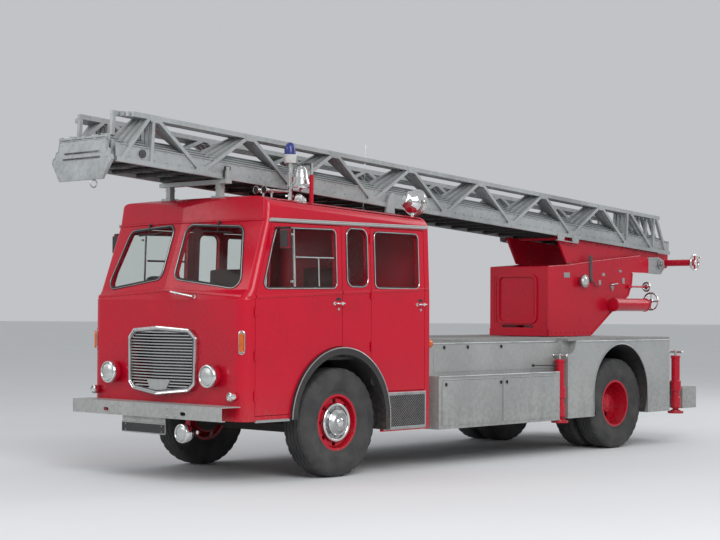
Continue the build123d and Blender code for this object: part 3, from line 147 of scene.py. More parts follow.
def relief(height, strength, distance):
    """A bump from a height pattern."""
    return height.node("ShaderNodeBump", {"Height": height, "Strength": strength,
                                          "Distance": distance}, "Normal")


def new_finish(name):
    """An empty material and the place on the object that its patterns are drawn from."""
    material = bpy.data.materials.new(name)
    material.use_nodes = True
    tree = material.node_tree
    return material, Value(tree, tree.nodes.new("ShaderNodeTexCoord").outputs["Object"])


def set_shader(material, **sockets):
    """Sets the material's own shader; a name's underscores stand for spaces."""
    shader = material.node_tree.nodes["Principled BSDF"]
    for key, value in sockets.items():
        socket = shader.inputs[key.replace("_", " ")]
        if isinstance(value, Value):
            material.node_tree.links.new(value.socket, socket)
        else:
            socket.default_value = (*value, 1) if isinstance(value, tuple) else value
    return material


def coach_paint(name, colour, dulled, gloss=0.2, grain=0.1, metal=0.0, dust_top=1.1,
                specular=0.5, dirt=(0.16, 0.125, 0.095)):
    """Brushed and sprayed coach paint: mottled, dulled in patches, with road dust low down."""
    material, here = new_finish(name)
    patches, fine = noise(here, 1.3, 4), noise(here, 22, 4)
    streaks = noise(here, 9, 3, (1, 1, 0.12))
    height = here.node("ShaderNodeSeparateXYZ", {0: here}, 2)
    low_down = 1 - step(height + (patches - 0.5) * 0.7, 0.1, dust_top)
    dust = low_down * step(fine * 0.5 + streaks * 0.5, 0.38, 0.66) * 0.40
    mottle = step(patches * 0.7 + fine * 0.3, 0.35, 0.68)
    orange_peel, ripples = noise(here, 260, 2), noise(here, 5, 2)
    return set_shader(
        material, Base_Color=blend(dust, blend(mottle, colour, dulled), dirt), Metallic=metal,
        Specular_IOR_Level=specular,
        Roughness=gloss + grain * mottle + dust * 0.45 + (fine - 0.5) * 0.06,
        Normal=relief(orange_peel * 0.35 + ripples, 0.25, 0.002))


def worn_metal(name, colour, roughness, metal=1.0):
    """Plated or bare metal with a faint haze and fine scuffs."""
    material, here = new_finish(name)
    haze, scuffs = noise(here, 6, 4), noise(here, 60, 5, (1, 1, 0.25))
    tarnish = step(haze * 0.6 + scuffs * 0.4, 0.42, 0.7)
    darker = tuple(0.72 * part for part in colour)
    return set_shader(material, Base_Color=blend(tarnish, colour, darker), Metallic=metal,
                      Roughness=roughness + 0.16 * tarnish, Normal=relief(scuffs, 0.06, 0.001))


def rubber(name, colour, dusty, dust):
    """Aged rubber, greyed by the sun and with dust in its texture."""
    material, here = new_finish(name)
    cloud, grain = noise(here, 7, 4), noise(here, 240, 3)
    grey = step(cloud * 0.6 + grain * 0.4, 0.35, 0.7) * dust
    return set_shader(material, Base_Color=blend(grey, colour, dusty),
                      Roughness=0.78 + 0.14 * grey, Normal=relief(grain, 0.3, 0.001))


def clear_glass(name, tint, haze):
    """Flat glass: see-through, with the reflection of a polished sheet and a film of dust."""
    material, here = new_finish(name)
    film = step(noise(here, 5, 5), 0.45, 0.8) * haze
    tree = material.node_tree
    set_shader(material, Base_Color=(0.10, 0.11, 0.11), Roughness=0.04 + film, IOR=2.2)
    see_through = here.node("ShaderNodeBsdfTransparent", {"Color": (*tint, 1)})
    rim = here.node("ShaderNodeFresnel", {"IOR": 1.5})
    outside = 1 - here.node("ShaderNodeNewGeometry", out="Backfacing")
    sheen = Value(tree, tree.nodes["Principled BSDF"].outputs[0])
    mixed = here.node("ShaderNodeMixShader", {0: (rim + film * 0.4) * outside, 1: see_through,
                                              2: sheen})
    tree.links.new(mixed.socket, tree.nodes["Material Output"].inputs["Surface"])
    return material


def plain_plastic(name, colour, roughness=0.35):
    """Moulded plastic, lens or enamel: one colour with a slight cloud and fine scratches."""
    material, here = new_finish(name)
    cloud, fine = noise(here, 14, 3), noise(here, 160, 2)
    shade = tuple(0.7 * part for part in colour)
    return set_shader(material, Base_Color=blend(step(cloud, 0.3, 0.75), colour, shade),
                      Roughness=roughness + 0.12 * fine, Normal=relief(fine, 0.08, 0.0006))


def leather():
    """Seat leathercloth, creased and rubbed paler where people sit."""
    material, here = new_finish("leather")
    creases = here.node("ShaderNodeTexVoronoi", {"Vector": here, "Scale": 130.0}, "Distance",
                        feature="DISTANCE_TO_EDGE")
    rubbed = step(noise(here, 4, 4), 0.4, 0.7)
    return set_shader(
        material, Base_Color=blend(rubbed, (0.075, 0.016, 0.014), (0.13, 0.035, 0.030)),
        Roughness=0.42 + 0.14 * rubbed, Normal=relief(creases, 0.25, 0.002))


bare_alloy = worn_metal("bare_alloy", (0.48, 0.49, 0.49), 0.34)
seal_rubber = rubber("seal_rubber", (0.016, 0.016, 0.017), (0.045, 0.043, 0.040), 0.5)
finishes = {
    "red_paint": coach_paint("red_paint", (0.52, 0.004, 0.022), (0.42, 0.004, 0.020),
                             dust_top=0.9, specular=0.36),
    "silver_paint": coach_paint("silver_paint", (0.40, 0.41, 0.40), (0.31, 0.32, 0.315),
                                0.36, 0.14, 0.25),
    "ladder_grey": coach_paint("ladder_paint", (0.42, 0.44, 0.44), (0.27, 0.285, 0.285),
                               0.38, 0.2, 0.35, dirt=(0.10, 0.09, 0.08)),
    "chassis_black": coach_paint("chassis_paint", (0.018, 0.018, 0.020), (0.040, 0.036, 0.033),
                                 0.5, 0.25),
    "deck_plate": coach_paint("tread_plate", (0.33, 0.335, 0.33), (0.22, 0.22, 0.215),
                              0.42, 0.2, 0.4),
    "bright_metal": worn_metal("chrome", (0.78, 0.78, 0.77), 0.07),
    "cast_metal": worn_metal("cast_iron", (0.10, 0.10, 0.10), 0.62, 0.6),
    "tyre_rubber": rubber("tyre_rubber", (0.030, 0.031, 0.033), (0.085, 0.080, 0.074), 0.75),
    "window_glass": clear_glass("window_glass", (0.95, 0.97, 0.96), 0.05),
    "dark_trim": plain_plastic("dark_trim", (0.022, 0.022, 0.024)),
    "seat_leather": leather(),
}
for entry in frame["record"]["subparts"]:
    materials = frame["nodes"][entry["node"]].data.materials
    materials.clear()
    materials.append(finishes[entry["material_slot"]])

# Floor: one wide sheet of pale screed with a faint cloud, so that the wheels cast a soft shadow
# and the horizon melts into the surround.
floor_half = 400
floor_mesh = bpy.data.meshes.new("floor")
floor_mesh.from_pydata([(x * floor_half, y * floor_half, 0)
                        for x, y in ((-1, -1), (1, -1), (1, 1), (-1, 1))], [], [(0, 1, 2, 3)])
floor = bpy.data.objects.new("floor", floor_mesh)
link(floor)
screed, here = new_finish("screed")
set_shader(screed, Roughness=0.85,
           Base_Color=blend(noise(here, 0.4, 5), (0.70, 0.71, 0.72), (0.76, 0.77, 0.78)))
floor_mesh.materials.append(screed)

# Tyres: cross-ply truck tyres with a rounded sidewall, a stepped shoulder with short bars and five
# ribs parted by zigzag grooves. Each one is moulded as a whole and stands for its solid. All pieces
# are drawn in metres ahead of the front axle, to the left and up.
front_axle_x, rear_axle_back, axle_z = 2.3645, -4.75, 0.525
sides = (("left", 1), ("right", -1))
bm = bmesh.new()


def finish(name, slot, material=None, body="chassis", smooth=38, stand_for=()):
    """Turns all that was drawn since the last piece into a named piece that rides on a body."""
    bmesh.ops.remove_doubles(bm, verts=bm.verts, dist=1e-5)
    bmesh.ops.recalc_face_normals(bm, faces=bm.faces)
    bm.transform(Matrix.Translation((front_axle_x, 0, 0)))
    mesh = bpy.data.meshes.new(name)
    bm.to_mesh(mesh)
    bm.clear()
    mesh.polygons.foreach_set("use_smooth", [True] * len(mesh.polygons))
    mesh.set_sharp_from_angle(angle=radians(smooth))
    mesh.materials.append(material or finishes[slot])
    made = bpy.data.objects.new(name, mesh)
    link(made)
    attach(made, body)
    if stand_for:
        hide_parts(*stand_for)
    return made


def facing(origin, normal, up=(0, 0, 1)):
    """A placement whose local Z is the normal and whose local Y is close to up."""
    z = Vector(normal).normalized()
    x = Vector(up).cross(z)
    x = x.normalized() if x.length > 1e-6 else Vector((1, 0, 0))
    turned = Matrix((x, z.cross(x), z)).transposed().to_4x4()
    return Matrix.Translation(origin) @ turned


def skin(rings, closed=False, capped=True):
    """Faces from ring to ring, from the last to the first where closed, and over open ends."""
    count, faces = len(rings[0]), []
    for lower, upper in zip(rings, rings[1:] + rings[:1] if closed else rings[1:]):
        for n in range(count):
            after = (n + 1) % count
            faces.append(bm.faces.new((lower[n], lower[after], upper[after], upper[n])))
    if capped and not closed:
        faces += [bm.faces.new(rings[0]), bm.faces.new(rings[-1])]
    return faces


def lathe(profile, place, segments=48, wave=None):
    """Turns (radius, along) points round a placement's Z axis."""
    rings = []
    for index, point in enumerate(profile):
        rings.append([])
        for number in range(segments):
            angle = 2 * pi * number / segments
            r, along = wave(index, number, *point) if wave else point
            rings[-1].append(bm.verts.new(place @ Vector((r * cos(angle), r * sin(angle), along))))
    skin(rings, capped=False)
    for ring, (radius, along) in ((rings[0], profile[0]), (rings[-1], profile[-1])):
        if radius > 0 and profile[0] != profile[-1]:
            bm.faces.new(ring)


tread_radius, groove_depth, groove_half, zigzag = 0.525, 0.009, 0.0045, 0.006
sidewall = [(0.262, 0.095), (0.274, 0.101), (0.29, 0.104), (0.3, 0.1035), (0.304, 0.108),
            (0.335, 0.119), (0.37, 0.1275), (0.405, 0.1318), (0.409, 0.1325), (0.413, 0.1318),
            (0.445, 0.129), (0.47, 0.1245), (0.486, 0.1215), (0.489, 0.1235), (0.5, 0.12),
            (0.512, 0.1125), (0.519, 0.106), (0.5225, 0.0985)]
tread_line = [(tread_radius - depth, groove + reach) for groove in (0.066, 0.022, -0.022, -0.066)
              for depth, reach in ((0, groove_half + 0.001), (groove_depth, groove_half),
                                   (groove_depth, -groove_half), (0, -groove_half - 0.001))]
tyre_profile = sidewall + tread_line + [(radius, -along) for radius, along in sidewall[::-1]]


def tread_wave(index, number, radius, along):
    """Shifts the groove walls from side to side, and cuts short bars into the shoulders."""
    beat = number % 6
    if len(sidewall) <= index < len(sidewall) + len(tread_line):
        return radius, along + zigzag * (abs(beat - 3) / 1.5 - 1)
    if 0.495 < radius < 0.524 and beat in (1, 2):
        return radius - 0.006, along * 0.985
    return radius, along


for hand, side in sides:
    for name, x, places, body, node in (
            ("front_tyre", 0, [0.932], "front_wheel", "tyre_front"),
            ("rear_tyres", rear_axle_back, [0.947, 0.635], "rear_wheels", "tyres_rear")):
        for y in places:
            lathe(tyre_profile + tyre_profile[:1], facing((x, side * y, axle_z), (0, 1, 0)), 192,
                  tread_wave)
        finish(f"{name}_{hand}", "tyre_rubber", body=f"{body}_{hand}", smooth=30,
               stand_for=(f"{node}_{hand}",))


# Front wheel trim: a spun bright ring over the wheel nuts, ten nuts in its dish, a stepped hub
# cap with its own nuts, and a valve stem through the disc.
def prism(outline, place, depth, bevel=0.0, segments=2):
    """A flat outline in a placement's XY, given a thickness along its Z and eased edges."""
    faces = skin([[bm.verts.new(place @ Vector((*point, z))) for point in outline]
                  for z in (0, depth)])
    bmesh.ops.recalc_face_normals(bm, faces=faces)
    if bevel:
        edges = list(dict.fromkeys(edge for face in faces for edge in face.edges))
        bmesh.ops.bevel(bm, geom=edges, offset=bevel, segments=segments, affect="EDGES",
                        clamp_overlap=True)


def rod(points, radius, sides=10, closed=False):
    """A round bar along a run of points."""
    points = [Vector(point) for point in points]
    count, rings, side = len(points), [], None
    for number, point in enumerate(points):
        before = points[number - 1] if number or closed else point
        after = points[(number + 1) % count] if number < count - 1 or closed else point
        along = (after - before).normalized()
        if side is None:
            side = along.cross((0, 0, 1) if abs(along.z) < 0.9 else (1, 0, 0)).normalized()
        side = (side - along * side.dot(along)).normalized()
        other = along.cross(side)
        rings.append([bm.verts.new(point + radius * (cos(2 * pi * n / sides) * side
                                                     + sin(2 * pi * n / sides) * other))
                      for n in range(sides)])
    skin(rings, closed)


def hexagon(radius):
    return [(radius * cos(radians(60 * n)), radius * sin(radians(60 * n))) for n in range(6)]


def nut_circle(place, count, circle, face, size, height, stud=True):
    """Hexagon nuts on a circle, each with its stud's end."""
    for number in range(count):
        angle = 2 * pi * (number + 0.5) / count
        spot = place @ Matrix.Translation((circle * cos(angle), circle * sin(angle), face))
        prism(hexagon(size), spot, height, size * 0.08, 1)
        if stud:
            lathe([(size * 0.5, height * 0.9), (size * 0.5, height * 1.25),
                   (size * 0.3, height * 1.35), (0, height * 1.35)], spot, 10)


def outward(x, y, z, side):
    """A placement at a point of one side, facing out from it."""
    return facing((x, side * y, z), (0, side, 0))


ring_profile = [(0.16, 0.06), (0.18, 0.062), (0.188, 0.07), (0.19, 0.082), (0.186, 0.096),
                (0.178, 0.103), (0.168, 0.104), (0.158, 0.098), (0.153, 0.088), (0.152, 0.076)]
inner_ring = [(0.116, 0.104), (0.125, 0.108), (0.128, 0.114), (0.123, 0.119), (0.115, 0.116)]
dish_profile = [(0.168, 0.074), (0.165, 0.08), (0.15, 0.0785), (0.1215, 0.0785), (0.1215, 0.111),
                (0.11, 0.1175), (0.084, 0.135), (0.08, 0.14), (0, 0.141)]
cap_profile = [(0.046, 0.138), (0.047, 0.146), (0.04, 0.154), (0.022, 0.16), (0, 0.162)]
for hand, side in sides:
    body = f"front_wheel_{hand}"
    place = outward(0, 0.932, axle_z, side)
    lathe(ring_profile + ring_profile[:1], place, 72)
    lathe(cap_profile, place, 40)
    lathe(inner_ring + inner_ring[:1], place, 64)
    finish(f"wheel_ring_{hand}", "bright_metal", body=body)
    lathe(dish_profile, place, 64)
    nut_circle(place, 8, 0.064, 0.14, 0.008, 0.008)
    nut_circle(place, 10, 0.138, 0.078, 0.013, 0.014)
    finish(f"hub_cap_{hand}", "bright_metal", bare_alloy, body)
    rod([(0.16, side * 0.972, 0.667), (0.17, side * 1.002, 0.675), (0.178, side * 1.03, 0.681)],
        0.005)
    finish(f"valve_{hand}", "dark_trim", seal_rubber, body)

# Rear wheel hubs: ten large nuts on the dished disc and the axle shaft's flange with its bolts,
# painted over in the wheel's red.
for hand, side in sides:
    place = outward(rear_axle_back, 0.947, axle_z, side)
    lathe([(0.1, -0.03), (0.104, -0.018), (0.098, -0.012), (0.072, -0.01), (0.066, -0.004),
           (0.058, 0.002), (0, 0.004)], place, 48)
    nut_circle(place, 10, 0.143, -0.134, 0.019, 0.022)
    nut_circle(place, 8, 0.084, -0.011, 0.009, 0.009, False)
    finish(f"rear_hub_{hand}", "red_paint", body=f"rear_wheels_{hand}")


# Wheel arches: a bright alloy bead along each black flare, painted as the highlight on its rolled
# rubber edge, and a dark pressed wheel house behind it that closes the arch off from the floor.
def arc_points(x, z, radius, first, last, count, y=0.0):
    """Points on an upright arc in a lengthwise plane."""
    turns = [radians(first + (last - first) * n / (count - 1)) for n in range(count)]
    return [Vector((x + radius * cos(turn), y, z + radius * sin(turn))) for turn in turns]


arch_x, arch_z, flare_radius, flare_y = 0.02, 0.56, 0.686, 1.13
houses = (
    # name, centre, radii, first and last angle, inner and outer face
    ("wheel_house", arch_x, arch_z, (0.613, 0.616), (192, 3), 0.66, 1.123),
    ("rear_wheel_house", -4.735, 0.66, (0.56, 0.563), (206, -26), 0.66, 1.138),
)
for hand, side in sides:
    # A bright alloy bead painted as the highlight along the rounded top of each black rubber flare.
    rod([(arch_x - flare_radius, side * flare_y, z) for z in (0.432, 0.5)]
        + arc_points(arch_x, arch_z, flare_radius, 180, 2.4, 60, side * flare_y), 0.006, 8)
    finish(f"flare_highlight_bead_{hand}", "bright_metal", bare_alloy)
    for name, x, z, radii, turn, inner, outer in houses:
        arcs = zip(*[arc_points(x, z, radius, *turn, 40) for radius in radii])
        skin([[bm.verts.new((point.x, side * y, point.z)) for point, y in
               ((low, inner), (low, outer), (high, outer), (high, inner))] for low, high in arcs],
             capped=False)
        finish(f"{name}_{hand}", "chassis_black")


# Window surrounds: a black rubber seal in each opening with a bright filler bead on it. The seals
# are laid on the painted panel by dropping their line onto it.
def landing(start, direction, *nodes):
    """The first point that a ray meets on any of the named solids."""
    start, shift, hits = Vector(start), Vector((front_axle_x, 0, 0)), []
    for solid in [frame["nodes"][name] for name in nodes]:
        back = solid.matrix_world.inverted()
        hit, place, _, _ = solid.ray_cast(back @ (start + shift),
                                          back.to_3x3() @ Vector(direction))
        if hit:
            hits.append(solid.matrix_world @ place - shift)
    return min(hits, key=lambda point: (point - start).length) if hits else None


def on_side(path, side, nodes, lift=0.0):
    """A run of (x, z) points laid on the outside of one side's panels, and not on the mirror that
    stands out from them."""
    laid, y, panel_limit = [], side * 1.1, 1.14
    for x, z in path:
        found = landing((x, side * 1.5, z), (0, -side, 0), *nodes)
        if found and abs(found.y) < panel_limit:
            y = found.y
        laid.append(Vector((x, y + side * lift, z)))
    return laid


def strip(path, out, width, height, closed=False):
    """A flat moulding along a path: its base lies against the surface that `out` points from."""
    path, out = [Vector(point) for point in path], Vector(out).normalized()
    count, crown, rings = len(path), out * height, []
    for number, point in enumerate(path):
        before = path[number - 1] if number or closed else point
        after = path[(number + 1) % count] if number < count - 1 or closed else point
        across = (after - before).normalized().cross(out).normalized() * width / 2
        rings.append([bm.verts.new(point + offset) for offset in (
            across, across * 0.96 + crown * 0.6, across * 0.55 + crown, -across * 0.55 + crown,
            -across * 0.96 + crown * 0.6, -across)])
    skin(rings, closed)


def rounded(points, radius, grow=0.0, steps=7, straight=4):
    """The run of a rounded outline, moved outwards by a margin."""
    points = [Vector(point) for point in points]
    count = len(points)
    area = sum(points[n - 1].x * points[n].y - points[n].x * points[n - 1].y for n in range(count))
    turn = 1 if area > 0 else -1
    path = []
    for n, corner in enumerate(points):
        before = (corner - points[n - 1]).normalized()
        after = (points[(n + 1) % count] - corner).normalized()
        first = turn * Vector((before.y, -before.x))
        second = turn * Vector((after.y, -after.x))
        centre = corner - (first + second) * radius / (1 + first.dot(second))
        arc = [centre + (radius + grow) * first.slerp(second, k / steps) for k in range(steps + 1)]
        if path:
            gap = arc[0] - path[-1]
            path += [path[-1] + gap * k / straight for k in range(1, straight)]
        path += arc
    gap = path[0] - path[-1]
    return path + [path[-1] + gap * k / straight for k in range(1, straight)]


windows = (
    # name, corners, corner radius, body, solid
    ("front_window", ((1.062, 1.808), (0.88, 2.362), (0.094, 2.372), (0.094, 1.822)), 0.045,
     "front_door_{}", "door_front_{}"),
    ("narrow_window", ((-0.07, 1.84), (-0.07, 2.392), (-0.352, 2.392), (-0.352, 1.84)), 0.075,
     "chassis", "cab_side_{}"),
    ("rear_window", ((-0.47, 1.832), (-0.47, 2.372), (-1.118, 2.372), (-1.118, 1.832)), 0.045,
     "rear_door_{}", "door_rear_{}"),
)
for hand, side in sides:
    for name, corners, radius, body, node in windows:
        for kind, grow, lift, width, height, slot, material in (
                ("seal", 0.004, 0, 0.022, 0.008, "dark_trim", seal_rubber),
                ("bead", 0.007, 0.006, 0.009, 0.005, "bright_metal", None)):
            strip(on_side(rounded(corners, radius, grow), side, [node.format(hand)], lift),
                  (0, side, 0.1), width, height, True)
            finish(f"{name}_{kind}_{hand}", slot, material, body.format(hand))


# Windscreens: two flat panes in thick rubber with a thin bright bead, and a pair of wipers hung
# from spindles over them, parked along the top edge.
def on_front(y, z, *nodes):
    """The point where the cab's front is met from ahead."""
    return landing((1.7, y, z), (-1, 0, 0), *nodes)


windscreen, screen_radius = ((0.095, 1.902), (0.095, 2.408), (0.8, 2.372), (0.955, 1.8)), 0.08
for hand, side in sides:
    for kind, grow, lift, width, height, slot, material in (
            ("seal", 0.004, 0, 0.03, 0.01, "dark_trim", seal_rubber),
            ("bead", 0.01, 0.008, 0.006, 0.004, "bright_metal", bare_alloy)):
        path = [on_front(side * y, z, "cab_front")
                for y, z in rounded(windscreen, screen_radius, grow)]
        offset = Vector((lift, side * 0.2 * lift, 0))
        strip([found + offset for found in path if found], (1, side * 0.1, 0.2), width, height,
              True)
        finish(f"screen_{kind}_{hand}", slot, material)
    spindle = on_front(side * 0.5, 2.425, "cab_front", "cab_roof")
    inner, outer = [on_front(side * y, z, "cab_glass") for y, z in ((0.3, 2.345), (0.66, 2.325))]
    off = Vector((0.03, 0, 0))
    lathe([(0.015, -0.004), (0.015, 0.014), (0.009, 0.018), (0.009, 0.03), (0, 0.032)],
          facing(spindle, (1, 0, 0.1)), 16)
    middle = inner * 0.45 + outer * 0.55 + off
    rod([spindle + off * 0.8, (spindle + middle) / 2 + Vector((0.008, 0, 0)), middle], 0.004, 8)
    strip([inner + off * 0.4, outer + off * 0.4], (1, 0, 0.3), 0.009, 0.014)
    finish(f"wiper_{hand}", "dark_trim")

# Front moulding: a half-round swage that rises from the cab's corners to the middle of the front,
# over the crease where the panel turns back to the screens.
swage = [on_front(1.03 - 2.06 * k / 48, 1.79 - 0.062 * abs(1.03 - 2.06 * k / 48), "cab_front")
         for k in range(49)]
strip([found - Vector((0.004, 0, 0)) for found in swage if found], (1, 0, 0.25), 0.034, 0.016)
finish("front_swage", "red_paint")


# Drop windows: the front doors' glass is in two parts, a swivelling quarter light ahead of a
# bright pillar and a half-dropped pane whose top rail runs across behind it.
def box(half_width, half_height, x=0.0, y=0.0):
    """The corners of a rectangle about a middle."""
    return [(x + u * half_width, y + v * half_height)
            for u, v in ((-1, -1), (1, -1), (1, 1), (-1, 1))]


def slab(low, high, bevel=0.004, segments=2):
    """A block between two corners with eased edges."""
    (x0, y0, z0), (x1, y1, z1) = low, high
    dx, dy = abs(x1 - x0) / 2, abs(y1 - y0) / 2
    prism(box(dx, dy), Matrix.Translation(((x0 + x1) / 2, (y0 + y1) / 2, min(z0, z1))),
          abs(z1 - z0), bevel, segments)


for hand, side in sides:
    for path, width, height in ((((0.645, 1.822), (0.645, 2.362)), 0.022, 0.014),
                                (((0.617, 2.1), (0.098, 2.104)), 0.02, 0.012),
                                (((0.313, 1.83), (0.313, 2.096)), 0.012, 0.008)):
        strip(on_side(path, side, [f"glass_front_{hand}"], 0.001), (0, side, 0.1), width, height)
    for z in (1.86, 2.3):
        slab((0.66, side * 1.07, z), (0.69, side * 1.095, z + 0.022))
    finish(f"quarter_light_{hand}", "bright_metal", body=f"front_door_{hand}")

# Cab mouldings: the rain gutter under the roof, the waist swage that rises from the corner towards
# the rear, the alloy strip along the cab's foot and the gutter over the screens.
swage_start, swage_slope = (1.244, 1.721), (1.824 - 1.721) / (-1.268 - 1.244)
swage_parts = (
    # first x, last x, body
    (1.24, 1.168, "chassis"), (1.152, 0.014, "front_door_{}"), (-0.002, -0.402, "chassis"),
    (-0.418, -1.204, "rear_door_{}"), (-1.22, -1.268, "chassis"),
)
for hand, side in sides:
    shell = [f"cab_side_{hand}", f"door_front_{hand}", f"door_rear_{hand}", "cab_front"]
    for number, (first, last, body) in enumerate(swage_parts):
        run = [first + (last - first) * k / 8 for k in range(9)]
        strip(on_side([(x, swage_start[1] + swage_slope * (x - swage_start[0])) for x in run],
                      side, shell), (0, side, 0), 0.03, 0.01)
        finish(f"swage_{hand}_{number}", "red_paint", body=body.format(hand))
    path = [Vector((0.97 - 2.223 * k / 16, side * 1.076, 2.431 + 0.013 * k / 16))
            for k in range(17)]
    strip(path, (0, side, 0.25), 0.026, 0.02)
    strip([point + Vector((0, side * 0.014, 0.016)) for point in path], (0, side, 0.5), 0.012,
          0.008)
    finish(f"gutter_{hand}", "silver_paint")
    slab((0.72, side * 1.092, 0.576), (1.16, side * 1.112, 0.6), 0.003)
    finish(f"sill_strip_{hand}", "silver_paint", bare_alloy)
brow = [on_front(1.04 - 2.08 * k / 32, 2.438, "cab_front", "cab_roof") for k in range(33)]
strip([found for found in brow if found], (1, 0, 0.2), 0.022, 0.014)
finish("brow_gutter", "red_paint")


# Door furniture: a bright pull handle on two feet with its lock below, set over a small dark plate
# painted as the shade of a finger recess, and strap hinges whose knuckles stand out at the pillars.
def studs(profile, spots, normal, segments=10):
    """The same small turned part at each of a list of points."""
    for spot in spots:
        lathe(profile, facing(spot, normal), segments)


handles = (("front", 0.061, 1.67), ("rear", -1.151, 1.666))
hinges = (("front", 1.168, (1.585, 1.186, 0.82)), ("rear", -0.404, (2.306, 1.76, 1.25)))
screw = [(0.006, 0), (0.005, 0.003), (0, 0.004)]
for hand, side in sides:
    out = (0, side, 0)
    for door, x, z in handles:
        y = on_side([(x, z)], side, [f"door_{door}_{hand}"])[0].y
        rod([(x + along, y + side * proud, z) for along, proud in (
            (-0.055, 0), (-0.055, 0.03), (-0.045, 0.04), (0.045, 0.04), (0.055, 0.03),
            (0.055, 0))], 0.0075, 12)
        studs([(0.018, 0), (0.017, 0.005), (0.01, 0.007)], [(x - 0.055, y, z), (x + 0.055, y, z)],
              out, 20)
        studs([(0.014, 0), (0.013, 0.006), (0, 0.007)], [(x, y, z - 0.055)], out, 20)
        finish(f"{door}_handle_{hand}", "bright_metal", body=f"{door}_door_{hand}")
        # A thin dark plate above each handle: painted shade standing for the finger recess.
        prism([(-0.04, -0.014), (0.04, -0.014), (0.022, 0.014), (-0.022, 0.014)],
              facing((x, y, z + 0.042), out), 0.002, 0.0008, 1)
        finish(f"{door}_finger_recess_shade_{hand}", "dark_trim", body=f"{door}_door_{hand}")
    for door, x, heights in hinges:
        for z in heights:
            y = on_side([(x - 0.03, z)], side, [f"door_{door}_{hand}"])[0].y
            for offset, half, radius in ((0, 0.045, 0.01), (-0.03, 0.008, 0.0125),
                                         (0, 0.008, 0.0125), (0.03, 0.008, 0.0125)):
                rod([(x, y + side * 0.009, z + offset + end) for end in (-half, half)], radius, 12)
            slab((x - 0.052, y - side * 0.002, z - 0.034), (x - 0.008, y + side * 0.006, z + 0.034),
                 0.002, 1)
            studs(screw, [(x - 0.034, y + side * 0.006, z + end) for end in (-0.02, 0.02)], out)
        finish(f"{door}_hinges_{hand}", "red_paint", body=f"{door}_door_{hand}")

# Mirrors: a flat glass in a rolled black frame on the back of each head, held to its arm by a
# clamp with two screws.
for hand, side in sides:
    centre = Vector((0.888, side * 1.214, 2.26))
    place = facing(centre, (-1, 0, 0))
    frame_line = rounded(box(0.056, 0.085), 0.022)
    slab(centre + Vector((0, -0.062, -0.092)), centre + Vector((0.032, 0.062, 0.092)), 0.012, 3)
    rod([(0.888, side * 1.068, 2.36), (0.888, side * 1.262, 2.36)], 0.0125)
    rod([place @ Vector((*point, 0.002)) for point in frame_line], 0.006, 8, True)
    slab(centre + Vector((-0.006, -0.02, 0.086)), centre + Vector((0.02, 0.02, 0.112)))
    studs([(0.006, 0), (0.006, 0.004), (0, 0.005)],
          [centre + Vector((-0.006, y, 0.099)) for y in (-0.012, 0.012)], (-1, 0, 0))
    finish(f"mirror_frame_{hand}", "dark_trim", body=f"front_door_{hand}")
    prism(frame_line, place, 0.004, 0.0015, 1)
    finish(f"mirror_glass_{hand}", "bright_metal", body=f"front_door_{hand}")

# Corner indicators: a tall amber lens, moulded with cross ribs, in a plated bezel that two screws
# hold to the cab's rounded corner.
amber_lens = plain_plastic("amber_lens", (0.62, 0.13, 0.012), 0.16)
for hand, side in sides:
    place = facing((1.165 + 0.135 * 0.82, side * (0.965 + 0.135 * 0.57), 1.306),
                   (0.82, side * 0.57, 0))
    bezel = rounded(box(0.026, 0.105), 0.025)
    rod([place @ Vector((*point, 0.004)) for point in bezel], 0.006, 8, True)
    prism(bezel, place, 0.006)
    for z in (-0.092, 0.092):
        lathe(screw, place @ Matrix.Translation((0, z, 0.022)), 10)
    finish(f"indicator_bezel_{hand}", "bright_metal")
    prism(rounded(box(0.02, 0.084), 0.019), place @ Matrix.Translation((0, 0, 0.004)), 0.024,
          0.008, 3)
    for k in range(9):
        rod([place @ Vector((x, -0.06 + 0.015 * k, 0.027)) for x in (-0.015, 0.015)], 0.0022, 6)
    finish(f"indicator_lens_{hand}", "window_glass", amber_lens)

# Step panels behind the front wheels: expanded alloy mesh, its strands laid crosswise, in a riveted
# alloy frame over a flat black sheet painted as the shade of the recess behind it.
x0, x1, z0, z1, mesh_pitch = -1.227, -0.606, 0.435, 0.776, 0.028
across, up = x1 - x0, z1 - z0
for hand, side in sides:
    y = side * 1.1
    strip([(x, y, z) for x, z in ((x0, z0), (x1, z0), (x1, z1), (x0, z1))], (0, side, 0), 0.036,
          0.008, True)
    studs([(0.005, 0), (0.004, 0.003), (0, 0.004)],
          [(x0 + across * (n + 0.5) / 8, y + side * 0.008, z) for n in range(8) for z in (z0, z1)],
          (0, side, 0), 8)
    finish(f"step_frame_{hand}", "silver_paint", bare_alloy)
    for lean in (1, -1):
        for k in range(-int(up / mesh_pitch) - 1, int(across / mesh_pitch) + 1):
            shift = k * mesh_pitch
            ends = max(0.0, -shift), min(up, across - shift)
            if ends[1] - ends[0] > 0.01:
                rod([(x0 + shift + t if lean > 0 else x1 - shift - t, y + side * 0.003 * lean,
                      z0 + t) for t in ends], 0.0022, 4)
    finish(f"step_mesh_{hand}", "silver_paint", bare_alloy)
    # A flat black sheet under the mesh: painted shade standing for the step's recess.
    slab((x0, y - side * 0.004, z0), (x1, y + side * 0.0005, z1), 0.0004, 1)
    finish(f"step_well_shade_{hand}", "chassis_black")

# Grille dressing: a bright rolled bead round the surround's edge, a dark ring inside it painted as
# the shade along the surround's inner bevel, and the plain cover plate of the starting handle's
# hole, screwed over the lowest slats.
nose_x, nose_fall = 1.396, 0.1346


def mirrored(half):
    """A run of (across, up) points from the middle, carried round the other side."""
    return half + [(-y, z) for y, z in reversed(half) if y]


def on_nose(y, z, proud=0.0):
    """A point on or before the vee of the grille."""
    return Vector((nose_x + proud - nose_fall * abs(y), y, z))


